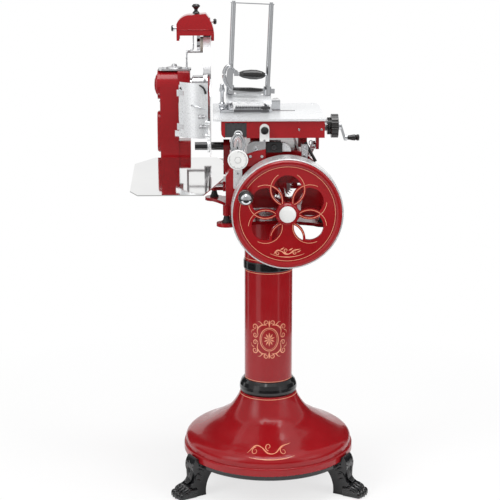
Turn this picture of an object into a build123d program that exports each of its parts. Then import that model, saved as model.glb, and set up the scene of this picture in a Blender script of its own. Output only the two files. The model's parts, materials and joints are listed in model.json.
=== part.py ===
from build123d import *
import os
from math import atan2, cos, degrees, hypot, pi, radians, sin, sqrt

# Hand crank meat slicer on its own cast pedestal. Millimetres, +Z up.
# The user stands at -Y and faces +Y. The column's axis is X = 0, Y = 0 and the floor is Z = 0
# while the pieces are made, and every piece is moved by FRAME_X and FRAME_Y when it is
# written, so that the origin is the middle of the footprint on the floor.
FRAME_X = 52.9
FRAME_Y = 17.0

# ---- clearances ----
RUN = 0.05  # radial clearance of a shaft that turns or slides in its bore
GAP = 0.3  # gap between faces on different bodies that pass each other

# ---- pedestal ----
PAW_COUNT = 3
PAW_REAR = 90.0  # direction of the rear paw, degrees from +X
PAW_TOE_R = 11.5
PAW_TOE_STEP = 15.0
PAW_TOES = 4
PAW_REACH = 348.0  # tip of the toes from the column's axis
PAW_WIDTH = 50.0
PAW_SOLE = 1.5  # how much of each toe the floor cuts off
RING_R = 263.0
RING_BOTTOM = 92.0
BASE_R = 269.0
BASE_BOTTOM = 107.0
BASE_LIP = 25.0  # height of the bead round the foot of the base
BASE_TOP = 298.0
BASE_WALL = 9.0
NECK_R = 89.5
COLLAR_TOP = 343.0
COLUMN_R = 75.0
COLUMN_WALL = 6.0
UPPER_COLLAR_R = 78.5
UPPER_COLLAR_LOW = 700.0
UPPER_COLLAR_HIGH = 727.0
PLATE_TOP = 877.0
PLATE_T = 10.0
LOBE_R = 30.0

# ---- feet of the machine, on the lobes of the head plate: (x, y) ----
FEET = [(-132.0, -158.0), (155.0, -158.0), (-168.0, 240.0), (158.0, 240.0)]
FOOT_RING_R = 14.0
FOOT_RING_T = 7.0
FOOT_CONE_R = 11.0
FOOT_NECK_R = 7.5
FOOT_CONE_H = 15.0
FRAME_LOW = PLATE_TOP + FOOT_RING_T + FOOT_CONE_H

# ---- base frame ----
FRAME_LEFT = -134.0
FRAME_RIGHT = 170.0
FRAME_FRONT = -165.0
FRAME_BACK = 272.0
SIDE_WALL = 18.0
END_WALL = 16.0
DECK_T = 12.0
SHOULDER_Z = 1037.0  # top of the side walls
CROWN_Z = 1095.0  # top of the deck
DECK_RIGHT = 104.0

# ---- main shaft and flywheel ----
SHAFT_X = 44.0
SHAFT_Z = 925.0
SHAFT_R = 12.0
WHEEL_R = 160.0
WHEEL_FRONT = -278.0
WHEEL_DEPTH = 76.0
WHEEL_RIM_T = 17.0
WHEEL_WEB_T = 13.0
BAND_R = 163.5
HUB_R = 32.0
CAP_R = 24.5
PETALS = 6
PETAL_AT = 74.3  # centre of a petal circle from the wheel's axis
PETAL_R = 49.4
PETAL_OPEN_R = 40.5
RIB = 3.5  # half the width of the ribs that follow the petal circles
HANDLE_AT = 139.0
HANDLE_ANGLE = 152.0
SPINDLE_R = 6.0
GRIP_LENGTH = 92.0
GRIP_R = 22.0

# ---- gears ----
MODULE = 2.5
BEVEL_TEETH = 30
BEVEL_PINION_TEETH = 15
BEVEL_FACE = 0.68  # inner end of the bevel teeth, as a share of the cone distance
CRANK_PINION_TEETH = 12
CRANK_TEETH = 48
GEAR_W = 10.0
SPROCKET_TEETH = 15
CHAIN_PITCH = 9.525
SPROCKET_X = -311.0
SPROCKET_T = 6.0
CHAIN_W = 12.0

# ---- cross shaft, along X behind and below the blade ----
CROSS_Y = 190.0
CROSS_R = 9.0
CROSS_LEFT = -325.0

# ---- crank that drives the carriage ----
CRANK_GEAR_X = -68.0
CRANK_SHAFT_R = 10.0
CRANK_R = 95.0
CRANK_X = 110.0
CRANK_T = 10.0
CRANK_PIN_R = 7.0
ROD_X = 122.0
ROD_T = 10.0
ROD_LENGTH = 240.0
ROD_EYE_R = 12.0
ROD_PIN_R = 6.0
LUG_Z = 1105.0

# ---- blade ----
BLADE_Z = 1249.4
BLADE_R = 150.0
BLADE_EDGE_X = -179.5
BLADE_DISH = 10.5
BLADE_T = 4.0
BLADE_HUB_R = 29.0
BLADE_SHAFT_R = 11.0
GUARD_GAP = 2.5
GUARD_T = 4.5
GUARD_LEFT = -200.0
GUARD_RIGHT = -177.0
DEFLECTOR_EYES = [1128.0, 1232.0]
DEFLECTOR_X = -272.0
DEFLECTOR_Y = 67.5
DEFLECTOR_PIN_R = 4.0
DEFLECTOR_LOW = 1102.0
DEFLECTOR_HIGH = 1272.0

# ---- chain case ----
CASE_LEFT = -331.0
CASE_RIGHT = -279.0
CASE_TOP_R = 46.0
CASE_LOW_R = 34.0
CASE_WALL = 7.0
COVER_T = 6.0
BOSS_RIGHT = -242.0
BOSS_R = 44.0
DOME_R = 34.0

# ---- gauge plate ----
GAUGE_RIGHT = -176.8
GAUGE_T = 3.0
GAUGE_TOP = 1283.0
GAUGE_BOTTOM = 1070.0
GAUGE_FRONT = -150.0
BAR_Y = -60.0
BAR_Z = 1092.0
BAR_R = 12.0

# ---- receiving tray: it falls from its back edge to its front edge ----
TRAY_BACK = 132.0
TRAY_FRONT = -257.0
TRAY_BACK_Z = 1024.8
TRAY_FRONT_Z = 980.5
TRAY_LEFT = -415.0
TRAY_T = 3.0

# ---- carriage ----
BODY_LEFT = -147.0
BODY_RIGHT = 155.0
BODY_FRONT = -200.0
BODY_BACK = 155.0
BODY_LOW = 1137.0
BODY_HIGH = 1187.0
BODY_WALL = 6.0
TABLE_T = 6.0
TABLE_LEFT = -171.0
TABLE_RIGHT = 160.0
RAIL_R = 10.0
RAIL_Z = 1105.0
RAIL_X = [-45.0, 98.0]
RAIL_FRONT = -192.0
RAIL_BACK = 330.0
RAIL_CAP_TOP = 1126.0
SADDLE_Y = [-115.0, 62.0]
SADDLE_HALF = 14.0
SADDLE_LOW = 1099.0
STOP_X = -21.0
STOP_Z = 1161.0
STOP_T = 4.0
INDEX_PIN_R = 4.0

# ---- feed screw, along X in the carriage ----
SCREW_Y = -20.0
SCREW_Z = 1146.0
SCREW_R = 8.0
FEED_WHEEL_R = 38.0
FEED_CRANK_R = 36.0
FEED_TRAVEL = 130.0
NUT_X = -65.0
NUT_HALF = 12.0
FEED_PIN_R = 4.0

# ---- meat clamp: two leaning posts on a base that slides on the table ----
CLAMP_LEAN = 2.5
POST_LEFT = -121.0
POST_RIGHT = -8.5
POST_R = 7.0
POST_TOP = 1516.0
CLAMP_BASE_T = 8.0
SLEEVE_R = 11.5
SLEEVE_Z = 1243.0
SLEEVE_H = 26.0
LEVER_PIN_R = 5.0
KNOB_STEM_R = 4.0

# ---- thickness dial ----
DIAL_X = -99.0
DIAL_Z = 1076.0
DIAL_R = 29.5
DIAL_FRONT = -222.0

# ---- sharpener ----
HOOD_Z = 1405.0
HOOD_TOP = 1472.0
HOOD_LEFT = -283.0
HOOD_RIGHT = -166.0
HOOD_FRONT = 152.0
HOOD_BACK = 228.0
HOOD_KNOB_X = -222.0
HOOD_SCREW_R = 5.0
STONE_X = -198.0  # right face of the grinding stone at rest
STONE_Z = 1376.0
STONE_R = 23.0
STONE_T = 11.5
STONE_PIN_R = 4.0
STONE_ROD_R = 5.0
STONE_ROD_Z = 1425.0
STONE_STROKE = 7.5
BURR_ROD_R = 3.5
BURR_Y = 216.0
BURR_Z = 1444.0


# ======================= small shapes =======================
def block(x0, x1, y0, y1, z0, z1):
    """A box from its two corners."""
    centre = Pos((x0 + x1) / 2, (y0 + y1) / 2, (z0 + z1) / 2)
    return centre * Box(x1 - x0, y1 - y0, z1 - z0)


def rod_x(radius, x0, x1, y, z):
    """A round bar along X."""
    return Pos((x0 + x1) / 2, y, z) * Rot(0, 90, 0) * Cylinder(radius, x1 - x0)


def rod_y(radius, y0, y1, x, z):
    """A round bar along Y."""
    return Pos(x, (y0 + y1) / 2, z) * Rot(-90, 0, 0) * Cylinder(radius, y1 - y0)


def rod_z(radius, z0, z1, x, y):
    """A round bar along Z."""
    return Pos(x, y, (z0 + z1) / 2) * Cylinder(radius, z1 - z0)


def polygon(points):
    """A flat face with straight sides."""
    return make_face(Polyline(*points, close=True))


def prism_x(face, x0, x1):
    """A face drawn in (Y, Z), made solid from x0 to x1."""
    return extrude(Plane.YZ.offset(x0) * face, x1 - x0)


def prism_y(face, y0, y1):
    """A face drawn in (X, Z), made solid from y0 to y1."""
    return extrude(Plane.XZ.offset(-y1) * face, y1 - y0)


def prism_z(face, z0, z1):
    """A face drawn in (X, Y), made solid from z0 to z1."""
    return extrude(Plane.XY.offset(z0) * face, z1 - z0)


def turned(points):
    """A turned piece about Z, from (radius, height) points."""
    outline = Polyline(*[(r, 0, h) for r, h in points], close=True)
    return revolve(make_face(outline), Axis.Z)


def turned_x(points, y, z):
    """A turned piece about a line along X, from (radius, x) points."""
    return Pos(0, y, z) * Rot(0, 90, 0) * turned(points)


def turned_y(points, x, z):
    """A turned piece about a line along Y, from (radius, y) points."""
    return Pos(x, 0, z) * Rot(-90, 0, 0) * turned(points)


def tube_x(outer, inner, x0, x1, y, z):
    """A sleeve along X."""
    return turned_x([(inner, x0), (outer, x0), (outer, x1), (inner, x1)], y, z)


def tube_y(outer, inner, y0, y1, x, z):
    """A sleeve along Y."""
    return turned_y([(inner, y0), (outer, y0), (outer, y1), (inner, y1)], x, z)


def polar(radius, angle):
    """A point at a distance and an angle, in degrees."""
    return (radius * cos(radians(angle)), radius * sin(radians(angle)))


def capsule(x0, y0, x1, y1, radius):
    """A flat outline with two round ends, between two points of a plane."""
    length = hypot(x1 - x0, y1 - y0)
    middle = Pos((x0 + x1) / 2, (y0 + y1) / 2)
    turn = Rot(0, 0, degrees(atan2(y1 - y0, x1 - x0)))
    return middle * turn * SlotCenterToCenter(length, 2 * radius)


def strap(x0, y0, r0, x1, y1, r1):
    """The flat outline of a belt round two circles of different size."""
    return make_hull((Pos(x0, y0) * Circle(r0) + Pos(x1, y1) * Circle(r1)).edges())


def tooth_outline(teeth, pitch_r, addendum, dedendum, phase=0.0):
    """The outline of a gear: straight-sided teeth with room on both flanks."""
    pitch = 360.0 / teeth
    points = []
    for i in range(teeth):
        middle = phase + i * pitch
        for radius, half in (
            (pitch_r - dedendum, 0.30),
            (pitch_r + addendum, 0.11),
        ):
            points.append((radius, middle - half * pitch))
        for radius, half in (
            (pitch_r + addendum, 0.11),
            (pitch_r - dedendum, 0.30),
        ):
            points.append((radius, middle + half * pitch))
    return [polar(radius, angle) for radius, angle in points]


# ======================= pedestal =======================
def toe(x0, x1, y, z, radius):
    """A bar along X with a round end."""
    half = radius * sqrt(0.5)
    round_end = ThreePointArc((radius, 0, x1), (half, 0, x1 + half), (0, 0, x1 + radius))
    outline = make_face(
        Line((0, 0, x0), (radius, 0, x0))
        + Line((radius, 0, x0), (radius, 0, x1))
        + round_end
        + Line((0, 0, x1 + radius), (0, 0, x0))
    )
    return Pos(0, y, z) * Rot(0, 90, 0) * revolve(outline, Axis.Z)


def paw():
    """One lion's paw, pointing along +X, cut flat at the floor."""
    reach = PAW_REACH - PAW_TOE_R
    heel = reach - 92
    leg = make_face(
        Line((heel, 0), (reach - 14, 0))
        + ThreePointArc((reach - 14, 0), (reach - 10, 20), (reach - 28, 35))
        + ThreePointArc((reach - 28, 35), (reach - 48, 50), (reach - 50, 74))
        + ThreePointArc((reach - 50, 74), (reach - 46, 100), (reach - 54, 122))
        + ThreePointArc((reach - 54, 122), (reach - 61, 126), (reach - 66, 118))
        + Line((reach - 66, 118), (reach - 66, BASE_BOTTOM - 8))
        + Line((reach - 66, BASE_BOTTOM - 8), (RING_R - 54, BASE_BOTTOM - 8))
        + Line((RING_R - 54, BASE_BOTTOM - 8), (RING_R - 54, RING_BOTTOM - 6))
        + ThreePointArc((RING_R - 54, RING_BOTTOM - 6), (heel - 10, 56), (heel, 0))
    )
    foot = prism_y(leg, -PAW_WIDTH / 2, PAW_WIDTH / 2)
    foot += rod_y(15, -PAW_WIDTH / 2 - 3, PAW_WIDTH / 2 + 3, reach - 68, 62)
    for i in range(PAW_TOES):
        side = (i - (PAW_TOES - 1) / 2) * PAW_TOE_STEP
        tip = reach - 0.25 * abs(side)
        low = toe(tip - 50, tip, side, PAW_TOE_R - PAW_SOLE, PAW_TOE_R)
        low += toe(tip - 52, tip - 26, side, PAW_TOE_R + 9, PAW_TOE_R - 1)
        foot += low - block(100, 400, -80, 80, -40, 0)
    return foot


def pedestal_feet():
    """The three paws and the ring that they carry, one casting."""
    feet = turned(
        [
            (RING_R - 55, RING_BOTTOM),
            (RING_R - 3, RING_BOTTOM),
            (RING_R, RING_BOTTOM + 3),
            (RING_R, BASE_BOTTOM),
            (RING_R - 55, BASE_BOTTOM),
        ]
    )
    for i in range(PAW_COUNT):
        feet += Rot(0, 0, PAW_REAR + i * 360.0 / PAW_COUNT) * paw()
    return feet


def flare_curve(inset):
    """The trumpet's curve from the bead to the neck, set in by the wall's thickness."""
    return Spline(
        (BASE_R - 6 - inset, 0, BASE_BOTTOM + 32 - 0.2 * inset),
        (BASE_R - 9 - 0.95 * inset, 0, BASE_BOTTOM + 48 - 0.5 * inset),
        (BASE_R - 21 - 0.5 * inset, 0, BASE_BOTTOM + 59 - inset),
        (224 - 0.3 * inset, 0, BASE_BOTTOM + 70 - inset),
        (192 - 0.5 * inset, 0, BASE_BOTTOM + 86 - 0.9 * inset),
        (160 - 0.5 * inset, 0, BASE_BOTTOM + 105.6 - 0.9 * inset),
        (134 - 0.6 * inset, 0, BASE_BOTTOM + 122 - 0.8 * inset),
        (112 - 0.8 * inset, 0, BASE_BOTTOM + 146 - 0.6 * inset),
        (98 - 0.9 * inset, 0, BASE_BOTTOM + 168 - 0.4 * inset),
        (NECK_R - 1 - inset, 0, BASE_TOP),
    )


def base_flare():
    """The trumpet-shaped base, a thin casting, with a bead round its foot."""
    outer = flare_curve(0)
    inner = flare_curve(BASE_WALL)
    foot = BASE_R - 6
    low = BASE_BOTTOM
    top = low + BASE_LIP
    outline = (
        Line((foot - BASE_WALL, 0, low), (BASE_R - 3, 0, low))
        + ThreePointArc((BASE_R - 3, 0, low), (BASE_R - 0.9, 0, low + 1.2), (BASE_R, 0, low + 4))
        + Line((BASE_R, 0, low + 4), (BASE_R, 0, top - 5))
        + ThreePointArc((BASE_R, 0, top - 5), (BASE_R - 1.7, 0, top - 1.2), (foot, 0, top))
        + Line((foot, 0, top), (foot, 0, low + 32))
        + outer
        + Line((NECK_R - 1, 0, BASE_TOP), (NECK_R - 1 - BASE_WALL, 0, BASE_TOP))
        + inner
        + Line(
            (foot - BASE_WALL, 0, low + 32 - 0.2 * BASE_WALL),
            (foot - BASE_WALL, 0, low),
        )
    )
    return revolve(make_face(outline), Axis.Z)


def column_collars():
    """The lower collar stands on the base, and the upper one is shrunk on the column."""
    inner = COLUMN_R + GAP / 3
    low, high = BASE_TOP, COLLAR_TOP
    lower = turned(
        [
            (COLUMN_R - COLUMN_WALL, low),
            (NECK_R - 3, low),
            (NECK_R + 0.5, low + 6),
            (NECK_R + 1.5, low + 14),
            (NECK_R + 0.5, low + 23),
            (NECK_R - 4, low + 35),
            (NECK_R - 11, high - 2),
            (NECK_R - 12, high),
            (inner, high),
            (inner, low + 10),
            (COLUMN_R - COLUMN_WALL, low + 10),
        ]
    )
    upper = turned(
        [
            (inner, UPPER_COLLAR_LOW),
            (UPPER_COLLAR_R - 1, UPPER_COLLAR_LOW),
            (UPPER_COLLAR_R, UPPER_COLLAR_LOW + 3),
            (UPPER_COLLAR_R, UPPER_COLLAR_HIGH - 3),
            (UPPER_COLLAR_R - 1, UPPER_COLLAR_HIGH),
            (inner, UPPER_COLLAR_HIGH),
        ]
    )
    return lower + upper


def column():
    top = PLATE_TOP - PLATE_T
    return turned(
        [
            (COLUMN_R - COLUMN_WALL, BASE_TOP + 10),
            (COLUMN_R, BASE_TOP + 10),
            (COLUMN_R, top),
            (COLUMN_R - 30, top),
            (COLUMN_R - 30, top - 10),
            (COLUMN_R - COLUMN_WALL, top - 10),
        ]
    )


def head_plate():
    """A plate with a round lobe under each foot of the machine and hollow sides."""
    fl, fr, rl, rr = FEET
    sides = (
        ThreePointArc(
            (fl[0] - LOBE_R, fl[1]), (-112, 30), (rl[0] - LOBE_R, rl[1])
        )
        + Line((rl[0] - LOBE_R, rl[1]), (rl[0], rl[1] + LOBE_R))
        + ThreePointArc((rl[0], rl[1] + LOBE_R), (0, 222), (rr[0], rr[1] + LOBE_R))
        + Line((rr[0], rr[1] + LOBE_R), (rr[0] + LOBE_R, rr[1]))
        + ThreePointArc(
            (rr[0] + LOBE_R, rr[1]), (128, 30), (fr[0] + LOBE_R, fr[1])
        )
        + Line((fr[0] + LOBE_R, fr[1]), (fr[0], fr[1] - LOBE_R))
        + ThreePointArc((fr[0], fr[1] - LOBE_R), (12, -142), (fl[0], fl[1] - LOBE_R))
        + Line((fl[0], fl[1] - LOBE_R), (fl[0] - LOBE_R, fl[1]))
    )
    outline = make_face(sides)
    for x, y in FEET:
        outline += Pos(x, y) * Circle(LOBE_R)
    return prism_z(outline, PLATE_TOP - PLATE_T, PLATE_TOP)


def machine_feet():
    """A bright ring and a rubber cone on every lobe of the head plate."""
    low = PLATE_TOP
    high = low + FOOT_RING_T
    feet = None
    for x, y in FEET:
        foot = Pos(x, y, 0) * turned(
            [
                (0, low),
                (FOOT_RING_R, low),
                (FOOT_RING_R, low + 4),
                (FOOT_RING_R - 2, high),
                (FOOT_CONE_R, high),
                (FOOT_NECK_R, high + FOOT_CONE_H),
                (0, high + FOOT_CONE_H),
            ]
        )
        feet = foot if feet is None else feet + foot
    return feet


# ======================= base frame =======================
def frame_outline():
    """The front view of the casting: an arched top and splayed right side."""
    return make_face(
        Line((FRAME_LEFT, FRAME_LOW), (FRAME_LEFT, SHOULDER_Z - 20))
        + ThreePointArc(
            (FRAME_LEFT, SHOULDER_Z - 20), (-96, 1062), (-20, CROWN_Z)
        )
        + Line((-20, CROWN_Z), (78, CROWN_Z))
        + ThreePointArc((78, CROWN_Z), (132, 1056), (160, 985))
        + Line((160, 985), (FRAME_RIGHT, FRAME_LOW))
        + Line((FRAME_RIGHT, FRAME_LOW), (FRAME_LEFT, FRAME_LOW))
    )


def front_wall():
    """The front of the casting, cut by two arches beside the bearing of the main shaft."""
    low = FRAME_LOW - 1
    left_arch = polygon([(-114, low), (-114, 908), (-102, 922), (8, 922), (8, low)])
    right_arch = polygon(
        [
            (7, low),
            (7, 955),
            (22, 985),
            (40, 997),
            (84, 997),
            (102, 980),
            (90, 930),
            (90, low),
        ]
    )
    face = frame_outline() - left_arch - right_arch
    face += polygon([(-6, 926), (-6, 962), (SHAFT_X, SHAFT_Z + 14), (SHAFT_X, SHAFT_Z - 14)])
    face += polygon([(104, 990), (104, 960), (SHAFT_X, SHAFT_Z - 14), (SHAFT_X, SHAFT_Z + 14)])
    face += Pos(SHAFT_X, SHAFT_Z) * Circle(SHAFT_R + 16)
    return prism_y(face, FRAME_FRONT, FRAME_FRONT + END_WALL)


def side_wall(x0, x1, top):
    """A side of the casting: two legs with an arch between them."""
    front, back, leg = FRAME_FRONT + 1, FRAME_BACK - 1, 34
    face = make_face(
        Line((front, FRAME_LOW), (front, top))
        + Line((front, top), (back, top))
        + Line((back, top), (back, FRAME_LOW))
        + Line((back, FRAME_LOW), (back - leg, FRAME_LOW))
        + ThreePointArc(
            (back - leg, FRAME_LOW), ((front + back) / 2, top - 28), (front + leg, FRAME_LOW)
        )
        + Line((front + leg, FRAME_LOW), (front, FRAME_LOW))
    )
    return prism_x(face, x0, x1)


def foot_pads():
    """A round pad on the casting over each foot, with a web to its side wall."""
    pads = None
    for x, y in FEET:
        pad = rod_z(FOOT_CONE_R, FRAME_LOW, FRAME_LOW + 30, x, y)
        if x < FRAME_LEFT - FOOT_CONE_R:
            pad += block(x, FRAME_LEFT + 2, y - 8, y + 8, FRAME_LOW, FRAME_LOW + 26)
        pads = pad if pads is None else pads + pad
    return pads


def deck():
    """The arched top of the casting, left of the crank."""
    band = frame_outline() - Pos(0, -DECK_T) * frame_outline()
    band &= polygon([(FRAME_LEFT, 1012), (FRAME_LEFT, 1200), (DECK_RIGHT, 1200), (DECK_RIGHT, 1012)])
    return prism_y(band, FRAME_FRONT + END_WALL - 1, FRAME_BACK - END_WALL + 1)


def rear_wall():
    low = FRAME_LOW - 1
    face = frame_outline()
    face &= polygon([(FRAME_LEFT, low), (FRAME_LEFT, 1200), (DECK_RIGHT, 1200), (DECK_RIGHT, low)])
    face -= polygon([(-114, low), (-114, 950), (-92, 975), (64, 975), (84, 950), (84, low)])
    return prism_y(face, FRAME_BACK - END_WALL, FRAME_BACK)


def base_frame():
    """The casting that carries the shafts, the rails and the blade."""
    left, right = FRAME_LEFT, FRAME_RIGHT
    body = front_wall() + deck() + rear_wall()
    body += side_wall(left, left + SIDE_WALL, SHOULDER_Z - 22)
    body += side_wall(right - SIDE_WALL, right - 1, 960)
    # the low bar that ties the right rear leg to the rear wall, below the crank's path
    body += block(80, right - 2, FRAME_BACK - END_WALL, FRAME_BACK, FRAME_LOW, FRAME_LOW + 11)
    # webs under the deck that carry the inner bearings
    low = SHAFT_Z - SHAFT_R - 8
    body += block(SHAFT_X - 18, SHAFT_X + 18, 126, 146, low, CROWN_Z - 2)
    body += block(-38, -22, CROSS_Y - 20, CROSS_Y + 20, low, CROWN_Z - 5)
    body += block(86, 102, CROSS_Y - 20, CROSS_Y + 20, 975, CROWN_Z - 10)
    body += foot_pads()
    body += gauge_bracket()
    body += rod_x(CROSS_R + 12, left - 6, left + SIDE_WALL - 1, CROSS_Y, SHAFT_Z)
    # the long bush of the main shaft, up to the flywheel's hub
    hub_back = WHEEL_FRONT + WHEEL_DEPTH - 4
    body += turned_y(
        [
            (0, hub_back + GAP),
            (SHAFT_R + 8, hub_back + GAP),
            (SHAFT_R + 10, hub_back + 4),
            (SHAFT_R + 10, FRAME_FRONT - 6),
            (SHAFT_R + 14, FRAME_FRONT - 6),
            (SHAFT_R + 14, FRAME_FRONT + 2),
            (0, FRAME_FRONT + 2),
        ],
        SHAFT_X,
        SHAFT_Z,
    )
    # bores
    body -= rod_y(SHAFT_R + RUN, hub_back - 10, 160, SHAFT_X, SHAFT_Z)
    body -= rod_x(CROSS_R + RUN, left - 20, 0, CROSS_Y, SHAFT_Z)
    body -= rod_x(CRANK_SHAFT_R + RUN, -60, DECK_RIGHT + 4, CROSS_Y, crank_z())
    return body


def carriage_rails():
    """Two round rails along Y."""
    rails = None
    for x in RAIL_X:
        rail = rod_y(RAIL_R, RAIL_FRONT, RAIL_BACK, x, RAIL_Z)
        rails = rail if rails is None else rails + rail
    return rails


def rail_brackets():
    """Front brackets that hold the rails' ends, and low saddles at the back."""
    left, right = RAIL_X
    y0, y1 = FRAME_FRONT - 27, FRAME_FRONT
    top = RAIL_CAP_TOP
    cap = make_face(
        Line((left - 27, top - 38), (left - 27, top - 17))
        + ThreePointArc((left - 27, top - 17), (left - 18, top - 5), (left, top))
        + Line((left, top), (left + 27, top))
        + Line((left + 27, top), (left + 27, top - 50))
        + Line((left + 27, top - 50), (left - 27, top - 38))
    )
    body = prism_y(cap, y0, y1)
    body += block(right - 9, right + 8, y0, y1, 1052, CROWN_Z + 22)
    y0, y1 = FRAME_BACK - 18, FRAME_BACK - 1
    for x in RAIL_X:
        body += block(x - 10, min(x + 10, DECK_RIGHT), y0, y1, 1060, SADDLE_LOW - GAP)
    body -= prism_y(frame_outline(), FRAME_FRONT, FRAME_BACK)
    return body - carriage_rails()


# ======================= drive =======================
def crank_z():
    """Height of the crank's axis: the two spur gears mesh above the cross shaft."""
    return SHAFT_Z + MODULE * (CRANK_PINION_TEETH + CRANK_TEETH) / 2


def wheel_face():
    """The pierced web of the flywheel: five open petals, one closed, six small lenses."""
    face = Circle(WHEEL_R - WHEEL_RIM_T + 1)
    for i in range(PETALS):
        angle = 90.0 + i * 360.0 / PETALS
        here = Pos(*polar(PETAL_AT, angle))
        before = Pos(*polar(PETAL_AT, angle - 60.0))
        after = Pos(*polar(PETAL_AT, angle + 60.0))
        lens = here * Circle(PETAL_R - RIB)
        lens = lens & (after * Circle(PETAL_R - RIB))
        face -= lens
        if i == 3:
            continue
        petal = here * Circle(PETAL_OPEN_R)
        petal -= before * Circle(PETAL_R + RIB)
        petal -= after * Circle(PETAL_R + RIB)
        petal -= Circle(HUB_R)
        face -= petal
    return face


def flywheel():
    """A deep rim, a pierced web near its front and a hub that fits the main shaft."""
    front = WHEEL_FRONT
    back = front + WHEEL_DEPTH
    web_front = front + 6
    rim = turned_y(
        [
            (WHEEL_R - WHEEL_RIM_T, front + 4),
            (WHEEL_R - WHEEL_RIM_T + 5, front + 1),
            (WHEEL_R - 6, front),
            (WHEEL_R, front + 5),
            (WHEEL_R, back),
            (WHEEL_R - 9, back),
            (WHEEL_R - 9, web_front + WHEEL_WEB_T + 8),
            (WHEEL_R - WHEEL_RIM_T, web_front + WHEEL_WEB_T),
        ],
        SHAFT_X,
        SHAFT_Z,
    )
    web = Pos(SHAFT_X, 0, SHAFT_Z) * prism_y(
        wheel_face(), web_front, web_front + WHEEL_WEB_T
    )
    hub = turned_y(
        [
            (0, front + 2),
            (CAP_R + 3, front + 2),
            (HUB_R, web_front),
            (HUB_R, web_front + WHEEL_WEB_T),
            (SHAFT_R + 12, web_front + WHEEL_WEB_T + 12),
            (SHAFT_R + 12, back - 4),
            (SHAFT_R, back - 4),
            (SHAFT_R, front + 12),
            (0, front + 12),
        ],
        SHAFT_X,
        SHAFT_Z,
    )
    wheel = rim + web + hub
    hx, hz = handle_place()
    wheel += rod_y(SPINDLE_R + 8, front, web_front + WHEEL_WEB_T, hx, hz)
    wheel -= rod_y(SHAFT_R, front + 12, back + 10, SHAFT_X, SHAFT_Z)
    wheel -= rod_y(SPINDLE_R, front - 10, web_front + WHEEL_WEB_T + 12, hx, hz)
    return wheel


def rim_band():
    """The polished steel hoop round the wheel's rim."""
    front = WHEEL_FRONT + 7
    back = WHEEL_FRONT + WHEEL_DEPTH
    return tube_y(BAND_R, WHEEL_R, front, back, SHAFT_X, SHAFT_Z)


def hub_cap():
    front = WHEEL_FRONT
    return turned_y(
        [
            (0, front - 7),
            (CAP_R - 9, front - 6),
            (CAP_R - 2, front - 3),
            (CAP_R, front),
            (CAP_R, front + 2),
            (0, front + 2),
        ],
        SHAFT_X,
        SHAFT_Z,
    )


def main_shaft():
    return rod_y(SHAFT_R, WHEEL_FRONT + 12, bevel_plane() + 2, SHAFT_X, SHAFT_Z)


def bevel_plane():
    """Y of the outer pitch circle of the large bevel gear."""
    return CROSS_Y - MODULE * BEVEL_PINION_TEETH / 2


def bevel_body(teeth, mate_teeth, phase):
    """A bevel gear with its outer pitch circle at height 0 and its apex above it on +Z."""
    pitch_r = MODULE * teeth / 2
    apex = MODULE * mate_teeth / 2
    cone = hypot(pitch_r, apex)
    lean = cone / apex
    addendum = 0.75 * MODULE * lean
    dedendum = 0.95 * MODULE * lean
    outer = tooth_outline(teeth, pitch_r, addendum, dedendum, phase)
    inner = [(x * BEVEL_FACE, y * BEVEL_FACE) for x, y in outer]
    big = polygon(outer)
    small = Pos(0, 0, apex * (1 - BEVEL_FACE)) * polygon(inner)
    return loft([big, small], ruled=True)


def bevel_gear():
    """The large bevel gear on the end of the main shaft, its teeth towards the cross shaft."""
    teeth = Pos(SHAFT_X, bevel_plane(), SHAFT_Z) * Rot(-90, 0, 0) * bevel_body(
        BEVEL_TEETH, BEVEL_PINION_TEETH, 0.0
    )
    hub = rod_y(SHAFT_R + 9, bevel_plane() - 16, bevel_plane() + 2, SHAFT_X, SHAFT_Z)
    back = rod_y(
        MODULE * BEVEL_TEETH / 2 - 6, bevel_plane() - 4, bevel_plane(), SHAFT_X, SHAFT_Z
    )
    gear = teeth + hub + back
    return gear - rod_y(SHAFT_R, bevel_plane() - 30, bevel_plane() + 30, SHAFT_X, SHAFT_Z)


def bevel_pinion():
    """The small bevel gear on the cross shaft."""
    plane_x = SHAFT_X - MODULE * BEVEL_TEETH / 2
    teeth = Pos(plane_x, CROSS_Y, SHAFT_Z) * Rot(0, 90, 0) * bevel_body(
        BEVEL_PINION_TEETH, BEVEL_TEETH, 180.0 / BEVEL_PINION_TEETH - 90.0
    )
    hub = rod_x(CROSS_R + 6, plane_x - 12, plane_x, CROSS_Y, SHAFT_Z)
    return teeth + hub - rod_x(CROSS_R, plane_x - 30, plane_x + 6, CROSS_Y, SHAFT_Z)


def cross_shaft():
    """The shaft behind the blade, with the small spur gear cut on it, one tooth straight up."""
    plane_x = SHAFT_X - MODULE * BEVEL_TEETH / 2
    shaft = rod_x(CROSS_R, CROSS_LEFT, plane_x + 6, CROSS_Y, SHAFT_Z)
    x = CRANK_GEAR_X
    face = polygon(spur_outline(CRANK_PINION_TEETH, 90.0))
    return shaft + Pos(0, CROSS_Y, SHAFT_Z) * prism_x(face, x, x + GEAR_W + 2)


def spur_outline(teeth, phase):
    pitch_r = MODULE * teeth / 2
    return tooth_outline(teeth, pitch_r, 0.8 * MODULE, 1.05 * MODULE, phase)


def crank_gear():
    """The large spur gear above it, with a gap straight down and five round holes."""
    half = 180.0 / CRANK_TEETH
    x = CRANK_GEAR_X + 1
    face = polygon(spur_outline(CRANK_TEETH, -90.0 + half)) - Circle(CRANK_SHAFT_R)
    for i in range(5):
        face -= Pos(*polar(36, 90 + i * 72)) * Circle(9)
    return Pos(0, CROSS_Y, crank_z()) * prism_x(face, x, x + GEAR_W)


def crank_angle():
    """Direction of the crank pin from its axis, at the front end of the stroke."""
    across = rod_reach()
    return degrees(atan2(LUG_Z - crank_z(), -across))


def rod_reach():
    """Horizontal distance from the crank's axis to the carriage pin at the front end."""
    return sqrt((ROD_LENGTH + CRANK_R) ** 2 - (LUG_Z - crank_z()) ** 2)


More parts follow.
